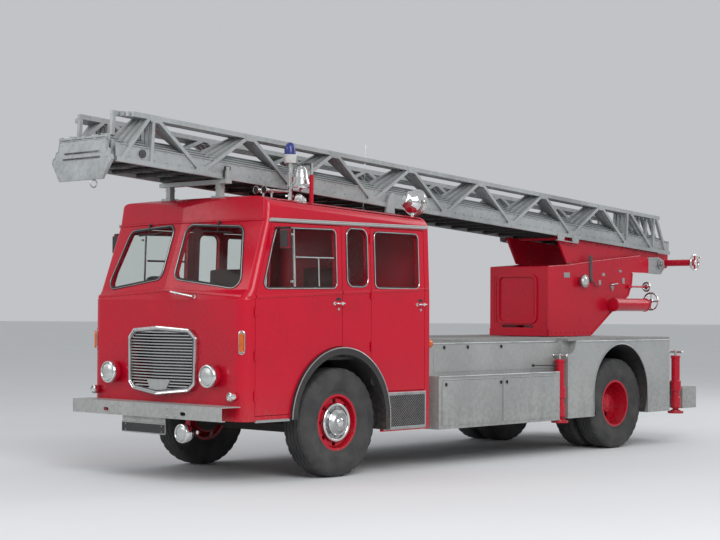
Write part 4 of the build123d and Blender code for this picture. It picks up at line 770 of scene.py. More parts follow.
grille_run = mirrored([(0, 1.45), (0.395, 1.425), (0.49, 1.345), (0.478, 0.905), (0.4, 0.838),
                       (0, 0.797)])
# The second ring, in dark cast metal, is painted shade along the inner edge of the grille's
# surround.
for name, shrink, proud, radius, material in (("bead", 0.011, 0.002, 0.011, None),
                                              ("painted_shade_ring", 0.04, -0.001, 0.006, finishes["cast_metal"])):
    rod([on_nose(*point, proud) for point in rounded(grille_run, 0.04, -shrink)], radius, 8, True)
    finish(f"grille_{name}", "bright_metal", material)
cover_line = [(0, 0.945), (0.165, 0.942), (0.115, 0.852), (0, 0.846), (-0.115, 0.852),
              (-0.165, 0.942)]
front, back = [[bm.verts.new(on_nose(*point, proud)) for point in cover_line]
               for proud in (-0.002, -0.011)]
for outline, first in ((front, 0), (back, 2)):
    for n in (first, first + 3):
        bm.faces.new([outline[(n + k) % 6] for k in range(4)])
skin([front, back], capped=False)
studs([(0.007, -0.002), (0.006, 0.002), (0, 0.004)],
      [on_nose(y, z, -0.002) for y, z in ((0.13, 0.925), (-0.13, 0.925), (0.09, 0.868),
                                          (-0.09, 0.868))], (1, 0, 0))
finish("handle_hole_cover", "silver_paint")


# Headlamps: a rolled and plated rim clipped over the red bowl and a domed glass moulded with
# upright flutes; the side lamps are plain, and the fog lamp has a plated shell behind it.
def lens(place, radius, bulge, base, flutes=0, rib=(0, 0, 0, 0)):
    """A domed glass with upright ribs moulded on it."""
    lathe([(radius * cos(radians(a)), base + bulge * sin(radians(a))) for a in range(0, 91, 15)],
          place, 48)
    spread, reach, lift, thickness = rib
    for k in range(flutes):
        u = spread * (2 * (k + 0.5) / flutes - 1)
        path = []
        for m in range(7):
            v = (reach ** 2 - u * u) ** 0.5 * (m / 3 - 1)
            near = max(0.0, 1 - (u * u + v * v) / radius ** 2) ** 0.5
            path.append(place @ Vector((u, v, base + lift + bulge * near)))
        rod(path, thickness, 5)


lamp_glass = worn_metal("lamp_glass", (0.60, 0.62, 0.61), 0.12, 0.55)
lamps = (
    # name, y, z, face x, radius, bulge, flutes
    ("headlamp_left", 0.715, 0.995, 1.39, 0.105, 0.026, 9),
    ("headlamp_right", -0.715, 0.995, 1.39, 0.105, 0.026, 9),
    ("side_lamp_left", 0.985, 0.816, 1.352, 0.04, 0.014, 0),
    ("side_lamp_right", -0.985, 0.816, 1.352, 0.04, 0.014, 0),
    ("fog_lamp", 0.505, 0.47, 1.51, 0.086, 0.016, 9),
)
for name, y, z, face, radius, bulge, flutes in lamps:
    place = facing((face, y, z), (1, 0, 0))
    lathe([(radius * share, along) for share, along in (
        (0.8, -0.012), (1.015, -0.024), (1.055, -0.01), (1.05, 0.008), (0.98, 0.02), (0.88, 0.022),
        (0.8, 0.008), (0.8, -0.012))], place, 64)
    if name == "fog_lamp":
        lathe([(radius * 1.02, -0.014), (radius * 1.02, -0.04), (radius * 0.86, -0.078),
               (radius * 0.5, -0.102), (0, -0.11)], place, 48)
    finish(f"{name}_rim", "bright_metal")
    lens(place, radius * 0.81, bulge, 0.004, flutes, (radius * 0.72, radius * 0.76, 0.0005, 0.0016))
    finish(f"{name}_lens", "window_glass", lamp_glass)

# Number plate: a black enamelled sheet in a pale beaded frame, held by four screws and left
# blank.
plate_low, plate_high, plate_x = (-0.35, 0.448), (0.27, 0.54), 1.514
strip([(plate_x, y, z) for y, z in (plate_low, (plate_high[0], plate_low[1]), plate_high,
                                    (plate_low[0], plate_high[1]))], (1, 0, 0), 0.012, 0.006, True)
studs([(0.006, 0.002), (0.005, 0.005), (0, 0.006)],
      [(plate_x, y, z) for y in (-0.3, 0.22) for z in (0.468, 0.52)], (1, 0, 0))
finish("plate_frame", "silver_paint", bare_alloy)
slab((plate_x, *plate_low), (plate_x + 0.003, *plate_high), 0.001, 1)
finish("plate_face", "dark_trim")

# Bumper: rolled rims in the oval tow slots, a dark plate behind them painted as the shade inside
# the slots, and domed bolts by the chassis horns.
oval = rounded(box(0.042, 0.02), 0.0195)
for hand, side in sides:
    rod([facing((1.55, side * 0.554, 0.65), (1, 0, 0)) @ point.to_3d() for point in oval], 0.004,
        8, True)
    studs([(0.014, 0), (0.013, 0.004), (0.008, 0.008), (0, 0.009)],
          [(1.55, side * y, z) for y in (0.34, 0.46) for z in (0.625, 0.697)], (1, 0, 0), 16)
    finish(f"bumper_trim_{hand}", "silver_paint")
    # A flat dark plate in each slot: painted shade for the hollow behind it.
    prism(oval, facing((1.5, side * 0.554, 0.65), (1, 0, 0)), 0.004)
    finish(f"tow_slot_shade_{hand}", "dark_trim")

# Grab rail under the nearside windscreen: a plated round bar on two turned posts, whose flanges
# stand on the front panel.
feet = [on_front(y, z, "cab_front") for y, z in ((0.154, 1.765), (0.419, 1.726))]
studs([(0.02, 0), (0.019, 0.006), (0.01, 0.012), (0.008, 0.04)], feet, (1, 0, 0.1), 20)
first, last = [foot + Vector((0.045, 0, 0.004)) for foot in feet]
overhang = (last - first) * 0.08
rod([first - overhang, first, last, last + overhang], 0.0105, 14)
finish("grab_rail", "bright_metal")


# Bell and beacon: a polished bell with a beaded lip and its clapper, in a red yoke; behind it a
# blue blown dome over a white base ring.
def ring(place, radius, thickness, count=48, sides=8):
    """A round bar bent to a ring about a placement's Z axis."""
    turns = [2 * pi * n / count for n in range(count)]
    rod([place @ Vector((radius * cos(turn), radius * sin(turn), 0)) for turn in turns], thickness,
        sides, True)


def screws(spots, normal, radius=0.006):
    """Domed screw or bolt heads at a list of points."""
    studs([(radius, 0), (radius * 0.85, radius * 0.5), (0, radius * 0.75)], spots, normal, 8)


bell_x, bell_y = 0.28, 0.8
for z, radius in ((2.78, 0.118), (2.796, 0.108), (2.93, 0.062)):
    ring(Matrix.Translation((bell_x, bell_y, z)), radius, 0.003)
lathe([(0, 2.742), (0.014, 2.748), (0.019, 2.762), (0.014, 2.776), (0.004, 2.784), (0.004, 2.9)],
      Matrix.Translation((bell_x, bell_y, 0)), 20)
finish("bell_trim", "bright_metal")
for side in (-1, 1):
    slab((bell_x - 0.02, bell_y + side * 0.127, 2.62), (bell_x + 0.02, bell_y + side * 0.154, 2.9))
    screws([(bell_x + 0.02, bell_y + side * 0.139, z) for z in (2.66, 2.78, 2.88)], (1, 0, 0),
           0.009)
finish("bell_yoke", "red_paint")
beacon_x, beacon_y, dome_radius = 0.3, 0.668, 0.0535
beacon_foot = Matrix.Translation((beacon_x, beacon_y, 0))
lathe([(0.053, 3.106), (dome_radius, 3.16), (0.047, 3.19), (0.034, 3.214), (0.016, 3.227),
       (0, 3.23)], beacon_foot, 40)
for k in range(16):
    angle = 2 * pi * k / 16
    rod([(beacon_x + dome_radius * cos(angle), beacon_y + dome_radius * sin(angle), z)
         for z in (3.11, 3.165)], 0.0016, 5)
finish("beacon_dome", "window_glass", plain_plastic("blue_lens", (0.035, 0.045, 0.22), 0.12))
lathe([(0.0575, 3.026), (0.06, 3.04), (0.067, 3.092), (0.067, 3.104), (0.055, 3.11)], beacon_foot,
      40)
finish("beacon_base", "bright_metal", plain_plastic("white_enamel", (0.62, 0.62, 0.60), 0.3))

# Roof lamps and horns: bright rims and lenses, flat dark discs painted as the shade in the horns'
# mouths, a yoke for the searchlight and the whip aerial on its rubber base.
horns = ((0.65, 0.56, 2.752), (0.65, 0.672, 2.748))
search_y, search_z = 0.9, 2.722
lamp_place = facing((0.462, 0.95, 2.64), (1, 0, 0))
search_place = facing((-1.33, search_y, search_z), (-1, 0, 0))
for x, y, z in horns:
    ring(facing((x, y, z), (1, 0, 0)), 0.036, 0.004, 32)
    slab((x - 0.12, y - 0.022, z - 0.026), (x - 0.08, y + 0.022, z - 0.01))
ring(lamp_place, 0.06, 0.006, 40)
ring(search_place, 0.127, 0.008, 56)
rod([(-1.27, search_y + 0.136 * cos(radians(a)), search_z + 0.136 * sin(radians(a)))
     for a in range(180, 361, 15)], 0.009, 8)
for side in (-1, 1):
    lathe([(0.018, 0), (0.018, 0.012), (0.009, 0.022), (0, 0.023)],
          facing((-1.27, search_y + side * 0.136, search_z), (0, side, 0)), 16)
finish("roof_lamp_rims", "bright_metal")
for place, radius, bulge in ((lamp_place, 0.058, 0.012), (search_place, 0.122, 0.02)):
    lens(place, radius, bulge, 0.001, 7, (radius * 0.8, radius * 0.9, 0, 0.0014))
finish("roof_lamp_lenses", "window_glass", lamp_glass)
# Flat dark discs in the horns' mouths are painted shade; the aerial's rubber foot below joins them.
studs([(0.033, 0.001), (0.02, 0.002), (0, 0.0025)], horns, (1, 0, 0), 24)
roof_top = landing((-0.717, 0.7, 3.2), (0, 0, -1), "cab_roof")
lathe([(0.028, -0.006), (0.028, 0.006), (0.018, 0.02), (0.012, 0.045), (0.006, 0.06), (0, 0.062)],
      Matrix.Translation(roof_top), 20)
finish("horn_mouth_shade_and_aerial_foot", "dark_trim", seal_rubber)
rod([roof_top + Vector(offset) for offset in ((0, 0, 0.05), (-0.01, 0.004, 0.35),
                                              (-0.03, 0.01, 0.69))], 0.0024, 6)
finish("aerial", "bright_metal")

# Ladder rest: rubber pads on the beam where the ladder's strings lie, and foot plates bolted
# through the roof.
for side in (-1, 1):
    slab((0.892, side * 0.44, 2.862), (0.968, side * 0.4478, 2.93), 0.003)
    slab((0.888, side * 0.452, 2.925), (0.972, side * 0.466, 2.966), 0.006)
finish("rest_pads", "dark_trim", seal_rubber)
for side in (-1, 1):
    foot_z = landing((0.93, side * 0.44, 3.0), (0, 0, -1), "cab_roof").z
    slab((0.87, side * 0.29, foot_z - 0.01), (0.99, side * 0.43, foot_z + 0.01))
    screws([(x, side * y, foot_z + 0.01) for x in (0.884, 0.976) for y in (0.306, 0.414)],
           (0, 0, 1), 0.01)
    for z in (2.68, 2.76):
        slab((0.895, side * 0.322, z), (0.965, side * 0.398, z + 0.012), 0.003)
finish("rest_feet", "silver_paint")

# Ladder sections: gusset plates at the truss joints, bolt rows along the web plates and ribbed
# rubber sleeves on the rungs. The steel is painted grey, mottled and dulled in patches.
slope = radians(3.58)
ladder_heel = Vector((-6.974, 0, 2.35))
ladder_along, ladder_up = Vector((cos(slope), 0, sin(slope))), Vector((-sin(slope), 0, cos(slope)))
sections = (
    # name, half width, underside, depth, web height, start, end
    ("base", 0.43, 0, 0.47, 0.165, 0.02, 9.23),
    ("second", 0.372, 0.044, 0.43, 0.152, 0.11, 9.242),
    ("third", 0.314, 0.088, 0.39, 0.139, 0.2, 9.254),
    ("top", 0.256, 0.132, 0.35, 0.126, 0.29, 9.264),
)
first_apex, truss_pitch, bay_count = 8.812, 1.196, 7
bolt_pitch, rung_pitch, rung_radius, rib_radius = 0.15, 0.3, 0.019, 0.0205


def on_ladder(s, v, y=0.0):
    """A point at a distance up the ladder, a height over its underside and a distance across."""
    return ladder_heel + ladder_along * s + ladder_up * v + Vector((0, y, 0))


def ladder_plate(outline, y, side, thickness):
    """A flat plate on the outside of a truss, its outline in ladder lengths and heights."""
    turned = Matrix((ladder_along, ladder_up, (0, side, 0))).transposed().to_4x4()
    prism(outline, Matrix.Translation(on_ladder(0, 0, y)) @ turned, thickness)


for name, half, low, depth, web, start, end in sections:
    for side in (-1, 1):
        y, high, out = side * half, low + depth, (0, side, 0)
        for n in range(bay_count):
            apex = first_apex - n * truss_pitch
            foot = apex - truss_pitch / 2
            ladder_plate([(apex - 0.08, high), (apex + 0.08, high), (apex + 0.05, high - 0.066),
                          (apex - 0.05, high - 0.066)], y, side, 0.003)
            screws([on_ladder(apex + s, high - v, y + side * 0.003) for s, v in (
                (-0.058, 0.022), (0, 0.022), (0.058, 0.022), (-0.03, 0.05), (0.03, 0.05))], out)
            ladder_plate([(foot - 0.105, low + 0.002), (foot + 0.105, low + 0.002),
                          (foot + 0.06, low + 0.084), (foot - 0.06, low + 0.084)], y, side, 0.003)
            screws([on_ladder(foot + s, low + v, y + side * 0.003) for s, v in (
                (-0.08, 0.022), (0, 0.022), (0.08, 0.022), (-0.038, 0.062), (0.038, 0.062))], out,
                   0.0055)
        screws([on_ladder(start + 0.06 + k * bolt_pitch, low + v, side * (half - 0.022))
                for k in range(int((end - start) / bolt_pitch)) for v in (0.062, web - 0.022)],
               out, 0.0095)
        ladder_plate([(start + 0.02, low + web - 0.004), (end - 0.04, low + web - 0.004),
                      (end - 0.04, low + web + 0.004), (start + 0.02, low + web + 0.004)],
                     side * (half - 0.036), side, 0.026)
    finish(f"ladder_{name}_plates", "ladder_grey", body=f"ladder_{name}")
    inner = half - 0.052
    sleeve = [(rung_radius, -inner), (rib_radius, 0.01 - inner)]
    for k in range(-4, 5):
        sleeve += [(radius, k * inner * 0.2 + along) for radius, along in (
            (rib_radius, -0.012), (rung_radius, -0.008), (rung_radius, 0.008), (rib_radius, 0.012))]
    sleeve += [(rib_radius, inner - 0.01), (rung_radius, inner)]
    studs(sleeve, [on_ladder(start + 0.2 + k * rung_pitch, low + 0.022)
                   for k in range(int((end - start - rung_pitch) / rung_pitch))], (0, 1, 0))
    finish(f"ladder_{name}_rungs", "dark_trim", seal_rubber, f"ladder_{name}")

# Extending gear: a grooved sheave in a bracket at the head of each lower section, and a steel rope
# down each side of the base section to the winch.
for name, half, low, depth, web, start, end in sections[:3]:
    for side in (-1, 1):
        studs([(0.012, 0), (0.038, 0.001), (0.038, 0.004), (0.03, 0.008), (0.038, 0.012),
               (0.038, 0.015), (0.016, 0.016), (0.012, 0.02), (0, 0.021)],
              [on_ladder(end - 0.3, low + 0.104, side * (half - 0.0215))], (0, side, 0), 28)
    finish(f"ladder_{name}_sheaves", "cast_metal", body=f"ladder_{name}")
for side in (-1, 1):
    rod([on_ladder(s, v, side * 0.383) for s, v in ((0.3, 0.105), (4.6, 0.1), (9.1, 0.105))],
        0.0045, 6)
finish("ladder_ropes", "bright_metal", bare_alloy, "ladder_base")
for side in (-1, 1):
    for s in (2.16, 2.46):
        ladder_plate([(s - 0.06, -0.05), (s + 0.06, -0.05), (s + 0.08, 0.03), (s - 0.08, 0.03)],
                     side * 0.4305, side, 0.006)
        screws([on_ladder(s + d, v, side * 0.4365) for d in (-0.035, 0.035)
                for v in (-0.03, 0.01)], (0, side, 0), 0.008)
    ladder_plate(box(0.21, 0.005, 2.31, -0.051), side * 0.4, side, 0.036)
finish("ladder_saddles", "ladder_grey", body="ladder_base")

# Ladder head: a folded rim round the nose plate, bolts along it, hooks behind, and a lifting ring
# that hangs beneath.
nose_s, tube_s, tube_v = 9.291, 9.274, 0.226
nose_half = [(0.31, -0.16), (0.435, 0.014), (0.418, 0.056), (0.392, 0.062), (0.38, 0.11),
             (0.352, 0.116), (0.338, 0.205)]
rod([on_ladder(nose_s, v, y) for y, v in mirrored(nose_half)], 0.0055, 8, True)
for slot_v in (0.09, 0.038):
    rod([on_ladder(nose_s, v, y) for y, v in box(0.262, 0.01, 0, slot_v)], 0.003, 6, True)
screws([on_ladder(9.29, v, y) for y in (-0.3, -0.15, 0, 0.15, 0.3) for v in (-0.125, 0.17)]
       + [on_ladder(9.29, v, y) for y in (-0.372, 0.372) for v in (-0.04, 0.04)],
       ladder_along, 0.008)
rod([on_ladder(tube_s, tube_v, y) for y in (-0.335, 0.335)], 0.013, 12)
for y in (-0.33, -0.17, 0, 0.17, 0.33):
    studs([(0.014, -0.016), (0.024, -0.014), (0.024, 0.014), (0.014, 0.016)],
          [on_ladder(tube_s, tube_v, y)], (0, 1, 0), 16)
    ladder_plate([(9.262, 0.19), (9.286, 0.19), (9.284, 0.232), (9.264, 0.232)], y + 0.019, 1,
                 0.005)
rod([on_ladder(9.27, 0.15 + 0.06 * sin(radians(t)), -0.3 + 0.06 * cos(radians(t)))
     for t in range(0, 271, 30)], 0.007, 8)
finish("nose_trim", "ladder_grey", body="ladder_top")

# Foot platform: a folding stand near the head, pressed and slotted, painted red and stowed flat
# over the rungs on two cross bars and two stays.
for k in range(-2, 3):
    ladder_plate([(8.48, 0.196), (8.96, 0.3), (8.96, 0.32), (8.48, 0.216)], 0.075 * k - 0.026, 1,
                 0.052)
for s, v in ((8.52, 0.204), (8.92, 0.291)):
    ladder_plate([(s - 0.02, v - 0.012), (s + 0.02, v - 0.012), (s + 0.02, v + 0.002),
                  (s - 0.02, v)], -0.186, 1, 0.372)
for y in (-0.19, 0.19):
    rod([on_ladder(8.94, v, y) for v in (0.285, 0.18)], 0.008, 8)
finish("foot_platform", "red_paint", body="ladder_top")
ring(facing(on_ladder(9.277, -0.197, 0.176), (0, 1, 0)), 0.036, 0.006, 32)
studs([(0.01, 0), (0.01, 0.016), (0, 0.018)], [on_ladder(9.277, -0.158, 0.176)], -ladder_up, 12)
finish("nose_ring", "bright_metal", bare_alloy, "ladder_top")

# Ladder cradle: flanges along the plates' lower edges, bolts to the ladder and a cap nut on each
# end of the heel pin.
for side in (-1, 1):
    out = (0, side, 0)
    strip([on_ladder(s, v, side * 0.366) for s, v in ((2.47, -0.004), (2.256, -0.3),
                                                      (1.5, -0.296))], out, 0.014, 0.02)
    screws([on_ladder(0.25 + 0.27 * k, -0.03, side * 0.372) for k in range(8)]
           + [on_ladder(s, v, side * 0.372) for s, v in ((1.6, -0.26), (1.85, -0.265),
                                                         (2.1, -0.27))], out, 0.011)
finish("cradle_flanges", "red_paint", body="ladder_base")
heel_pin_x, heel_pin_z = -6.714, 2.22
for side in (-1, 1):
    place = outward(heel_pin_x, 0.4295, heel_pin_z, side)
    lathe([(0.058, 0), (0.056, 0.008), (0.04, 0.01), (0.038, 0.014), (0, 0.015)], place, 32)
    prism(hexagon(0.03), place @ Matrix.Translation((0, 0, 0.014)), 0.022, 0.002, 1)
finish("heel_pin_caps", "bright_metal", bare_alloy, "ladder_base")

# Turntable body: a bolted foot band, a lined access panel with two upright beads, rows of bolts
# along the side plates, a working lamp, blank instruction plates, a grab handle and the locking
# strap.
front_x, plate_y = -4.255, 0.43
side_edge = [(front_x, 1.42), (front_x, 2.09), (-4.7, 2.118), (-5.236, 2.178), (-6.2, 2.262)]
for side in (-1, 1):
    out = (0, side, 0)
    slab((-5.138, side * 0.428, 1.308), (-4.262, side * 0.438, 1.396), 0.003)
    screws([(-4.32 - 0.095 * k, side * 0.438, 1.352) for k in range(9)], out, 0.01)
    for (x0, z0), (x1, z1) in zip(side_edge, side_edge[1:]):
        count = max(1, int(hypot(x1 - x0, z1 - z0) / 0.14))
        inset = 0.03 if x0 == x1 else 0
        screws([(x0 + (x1 - x0) * (k + 0.5) / count - inset, side * plate_y,
                 z0 + (z1 - z0) * (k + 0.5) / count) for k in range(count)], out, 0.008)
    strip([(x, side * plate_y, z) for x, z in ((-6.058, 2.09), (-6.04, 1.96), (-5.967, 1.812),
                                               (-5.667, 1.652), (-5.16, 1.33))], out, 0.024, 0.01)
    rod([(x, side * 0.427, z) for x, z in ((-4.262, 2.133), (-4.7, 2.161), (-5.236, 2.222),
                                           (-6.233, 2.313))], 0.009, 8)
screws([(-4.253, y, z) for y in (-0.39, 0.39) for z in (1.45, 1.62, 1.79, 1.96, 2.09)], (1, 0, 0),
       0.008)
strip([(front_x, *point) for point in rounded(box(0.247, 0.262, -0.015, 1.75), 0.045)], (1, 0, 0),
      0.01, 0.006, True)
for y in (-0.335, -0.372):
    strip([(front_x, y, z) for z in (1.47, 2.03)], (1, 0, 0), 0.016, 0.009)
slab((-4.262, -plate_y, 1.308), (-4.24, plate_y, 1.396))
rod([(-4.262, y, 2.133) for y in (-0.427, 0.427)], 0.009, 8)
finish("turntable_bolts", "red_paint", body="turntable")
lamp_x, lamp_z = -4.93, 1.97
side_plates = (
    # x, z, half width, half height
    (-5.34, 1.96, 0.0225, 0.03), (-4.64, 2.04, 0.06, 0.03), (-5.86, 1.99, 0.025, 0.035),
    (-5.79, 2.11, 0.03, 0.015), (-5.42, 2.06, 0.03, 0.018),
)
for side in (-1, 1):
    rod([(x, side * y, z) for x, y, z in ((-5.54, plate_y, 1.93), (-5.54, 0.466, 1.934),
                                          (-5.68, 0.466, 1.952), (-5.68, plate_y, 1.956))], 0.009)
    prism([(-0.04, 0.03), (0.04, 0.03), (0, -0.045)], outward(-5.61, plate_y, 1.89, side), 0.006,
          0.001, 1)
    lathe([(0.045, 0), (0.06, 0.014), (0.076, 0.05), (0.08, 0.062), (0.076, 0.072), (0.066, 0.074),
           (0.062, 0.064)], outward(lamp_x, plate_y, lamp_z, side), 40)
    for x, z, half_width, half_height in side_plates:
        prism(box(half_width, half_height), outward(x, plate_y, z, side), 0.004, 0.001, 1)
finish("turntable_fittings", "bright_metal", bare_alloy, "turntable")
for side in (-1, 1):
    lathe([(0.063, 0.062), (0.054, 0.076), (0.032, 0.086), (0, 0.09)],
          outward(lamp_x, plate_y, lamp_z, side), 32)
finish("turntable_lamp_lenses", "window_glass", lamp_glass, "turntable")
for side in (-1, 1):
    strip([(x, side * 0.431, z) for x, z in ((-5.146, 1.965), (-5.14, 2.12), (-5.136, 2.29))],
          (0, side, 0), 0.056, 0.012)
    lathe([(0.02, 0), (0.02, 0.014), (0.01, 0.018), (0, 0.019)], outward(-5.14, 0.438, 1.985, side),
          18)
    rod([(-5.14, side * 0.45, 1.985), (-5.21, side * 0.456, 1.93), (-5.27, side * 0.456, 1.905)],
        0.007)
finish("turntable_straps", "cast_metal", body="turntable")

# Bearing ears: the steel cheeks that carry the ladder's heel, each with a ring welded round the
# pin's bore and a stiffening edge along its outline.
for side in (-1, 1):
    ring(outward(heel_pin_x, 0.4165, heel_pin_z, side), 0.064, 0.007, 40)
    strip([(x, side * 0.416, z) for x, z in ((-6.445, 2.284), (-6.695, 2.296), (-6.815, 2.258),
                                             (-6.835, 2.186), (-6.752, 2.104), (-6.645, 2.104))],
          (0, side, 0), 0.012, 0.006)
finish("ear_edges", "ladder_grey", body="turntable")

# Handwheels: bright round rims and turned spokes over the cast wheels, with a hub nut on each and
# a spinner knob; the gear tube has a bolted cover.
handwheels = (
    # name, body, centre, axis, rim radius, spokes
    ("gear_wheel", "turntable", (-6.369, 0.512, 1.735), (-1, 0, 0), 0.106, 4),
    ("brake_wheel", "turntable", (-6.369, 0.446, 1.92), (-1, 0, 0), 0.053, 4),
    ("winch_wheel", "ladder_base", (-6.932, 0.81, 2.24), (0, 1, 0), 0.096, 0),
)
for name, body, centre, axis, radius, spokes in handwheels:
    place = facing(centre, axis)
    ring(place, radius, 0.0135, 48, 12)
    for k in range(spokes):
        arm = Vector((cos(k * pi / 2), sin(k * pi / 2), 0))
        rod([place @ (arm * 0.02), place @ (arm * radius)], 0.0115, 8)
    lathe([(0.029, -0.012), (0.029, 0.012), (0.018, 0.018), (0.012, 0.026), (0, 0.028)], place, 24)
    if name != "brake_wheel":
        lathe([(0.006, 0.008), (0.006, 0.022), (0.012, 0.028), (0.013, 0.052), (0.007, 0.06),
               (0, 0.061)], place @ Matrix.Translation((radius * 0.7071, radius * 0.7071, 0)), 16)
    finish(name, "bright_metal", body=body)
for x, out in ((-5.512, 1), (-6.228, -1)):
    place = facing((x, 0.512, 1.69), (out, 0, 0))
    lathe([(0.086, -0.016), (0.086, 0), (0.078, 0.006), (0.03, 0.008), (0, 0.009)], place, 36)
    screws([place @ Vector((0.068 * cos(radians(a)), 0.068 * sin(radians(a)), 0.005))
            for a in range(0, 360, 60)], (out, 0, 0), 0.007)
finish("gear_covers", "red_paint", body="turntable")

# Lift cylinders: a turned gland ring with its wiper at the mouth of each steel barrel, and a thin
# steel pipe along the barrel.
lift_base, lift_pin = Vector((-4.9, 0, 1.5)), Vector((-6.214, 0, 2.22))
lift_line, lift_length = (lift_pin - lift_base).normalized(), (lift_pin - lift_base).length
for side in (-1, 1):
    mouth = lift_base + lift_line * (lift_length - 0.21) + Vector((0, side * 0.205, 0))
    lathe([(0.0445, -0.05), (0.082, -0.05), (0.082, 0.006), (0.07, 0.012), (0.0445, 0.012)],
          facing(mouth, lift_line), 36)
    rod([lift_base + lift_line * along + Vector((0, side * y, 0)) for along, y in (
        (0.16, 0.285), (lift_length - 0.3, 0.285), (lift_length - 0.26, 0.275))], 0.008, 8)
finish("lift_glands", "bright_metal", bare_alloy, "lift_barrel")

# Body sides: bright edge mouldings, lockers with rolled lids on piano hinges and budget locks, the
# rolled lip of the rear arch, and an amber lamp behind the cab's corner.
body_y, upper_y, rear_arch_x, rear_arch_radius = 1.145, 1.0, -4.735, 0.566
for hand, side in sides:
    out = (0, side, 0)
    for y, z, width, ends in ((upper_y, 1.262, 0.016, (-1.396, -3.65)),
                              (body_y, 1.262, 0.016, (-3.815, -5.786)),
                              (body_y, 0.924, 0.014, (-1.396, -3.496))):
        strip([(x, side * y, z) for x in ends], out, width, 0.006)
    lip_y = side * 1.147
    rod([(rear_arch_x + rear_arch_radius, lip_y, 0.405),
         *arc_points(rear_arch_x, 0.66, rear_arch_radius, 0, 180, 48, lip_y),
         (rear_arch_x - rear_arch_radius, lip_y, 0.405)], 0.007, 8)
    rod(arc_points(-3.66, 1.27, 0.15, 270, 180, 16, side * body_y), 0.005, 8)
    finish(f"body_mouldings_{hand}", "silver_paint", bare_alloy)
    for x0, x1 in ((-2.42, -1.44), (-3.47, -2.46)):
        prism(rounded(box((x1 - x0) / 2, 0.232), 0.03), outward((x0 + x1) / 2, body_y, 0.655, side),
              0.006, 0.0025)
        rod([(x, side * 1.15, 0.893) for x in (x0 + 0.02, x1 - 0.02)], 0.006, 8)
    prism(rounded(box(1.02, 0.13), 0.02), outward(-2.5, upper_y, 1.095, side), 0.004, 0.0015, 1)
    finish(f"locker_lids_{hand}", "silver_paint")
    for y, z, places in ((1.004, 1.222, (-1.643, -2.034, -2.611)),
                         (1.151, 0.846, (-1.5, -2.419, -2.522))):
        for x in places:
            lathe([(0.017, 0), (0.016, 0.008), (0, 0.01)], outward(x, y, z, side), 18)
            slab((x - 0.006, side * (y + 0.004), z - 0.02),
                 (x + 0.006, side * (y + 0.015), z + 0.02), 0.003)
    finish(f"body_latches_{hand}", "dark_trim")
    spot = landing((-1.6, side * 1.052, 1.268), (1, 0, 0), "cab_back", "cab_side_left",
                   "cab_side_right")
    lathe([(0.044, -0.002), (0.046, 0.018), (0.046, 0.054), (0.038, 0.076), (0.018, 0.09),
           (0, 0.093)], facing(spot, (-1, 0, 0)), 32)
    finish(f"notch_lamp_{hand}", "window_glass", amber_lens)


# Deck: rolled tread plate, its raised diamonds turned left and right by turns over the walkways and
# left out under the turntable.
def chequer(spot, lean, length, width, rise):
    """One raised diamond with a flat crown, its long corner leaning to one side."""
    along, across = Vector((*length, 0)), Vector((*width, 0))
    along.y, across.x = along.y * lean, -across.x * lean
    base, crown = [[bm.verts.new(Vector(spot) + corner * scale + Vector((0, 0, lift)))
                    for corner in (along, across, -along, -across)]
                   for scale, lift in ((1, 0), (0.7, rise))]
    bm.faces.new(crown)
    skin([base, crown], capped=False)


deck_pitch = 0.066
for row in range(66):
    x = -1.44 - row * deck_pitch
    half_span = 0.965 if x > -3.64 else 1.105
    for column in range(-17, 18):
        y = column * deck_pitch
        if abs(y) <= half_span and (x >= -4.18 or abs(y) >= 0.5):
            chequer((x, y, 1.2998), 1 if (row + column) % 2 else -1, (0.02, 0.008),
                    (0.003, 0.006), 0.0025)
finish("deck_chequers", "deck_plate")


# Jacks: collars on the posts, a bright T-bar with ball ends on each screw, a boss and rim on each
# foot, and a long black lever on the front pair.
def ball(radius):
    """The profile of a ball."""
    return [(radius * cos(radians(a)), radius * sin(radians(a))) for a in range(-90, 91, 30)]


bar_z = 1.11
for end, x in (("front", -3.58), ("rear", -6.02)):
    for hand, side in sides:
        y = side * 1.088
        post = Matrix.Translation((x, y, 0))
        for low, high, radius in ((0.424, 0.56, 0.062), (0.628, 0.762, 0.066), (1.03, 1.066, 0.06)):
            lathe([(radius - 0.01, low), (radius, low + 0.008), (radius, high - 0.008),
                   (radius - 0.01, high)], post, 32)
        finish(f"jack_collars_{end}_{hand}", "red_paint")
        lathe([(0.017, 1.06), (0.017, 1.092), (0.022, 1.094), (0.022, 1.128), (0.014, 1.134),
               (0, 1.136)], post, 20)
        rod([(x, y - 0.084, bar_z), (x, y + 0.084, bar_z)], 0.0135, 12)
        studs(ball(0.02), [(x, y - 0.088, bar_z), (x, y + 0.088, bar_z)], (0, 1, 0), 16)
        finish(f"jack_bar_{end}_{hand}", "bright_metal")
        lathe([(0.066, 0.38), (0.062, 0.392), (0.04, 0.402), (0.034, 0.412), (0.031, 0.412)], post,
              32)
        ring(post @ Matrix.Translation((0, 0, 0.372)), 0.094, 0.0045, 40)
        finish(f"jack_boss_{end}_{hand}", "red_paint", body=f"jack_{end}_{hand}")
        if end == "front":
            lever_y = y - side * 0.02
            rod([(x + 0.045, y, 0.995), (x + 0.2, lever_y, 1.0), (x + 0.46, lever_y, 1.006)], 0.007,
                8)
            studs(ball(0.018), [(x + 0.47, lever_y, 1.006)], (1, 0, 0), 16)
            finish(f"jack_lever_{end}_{hand}", "dark_trim")

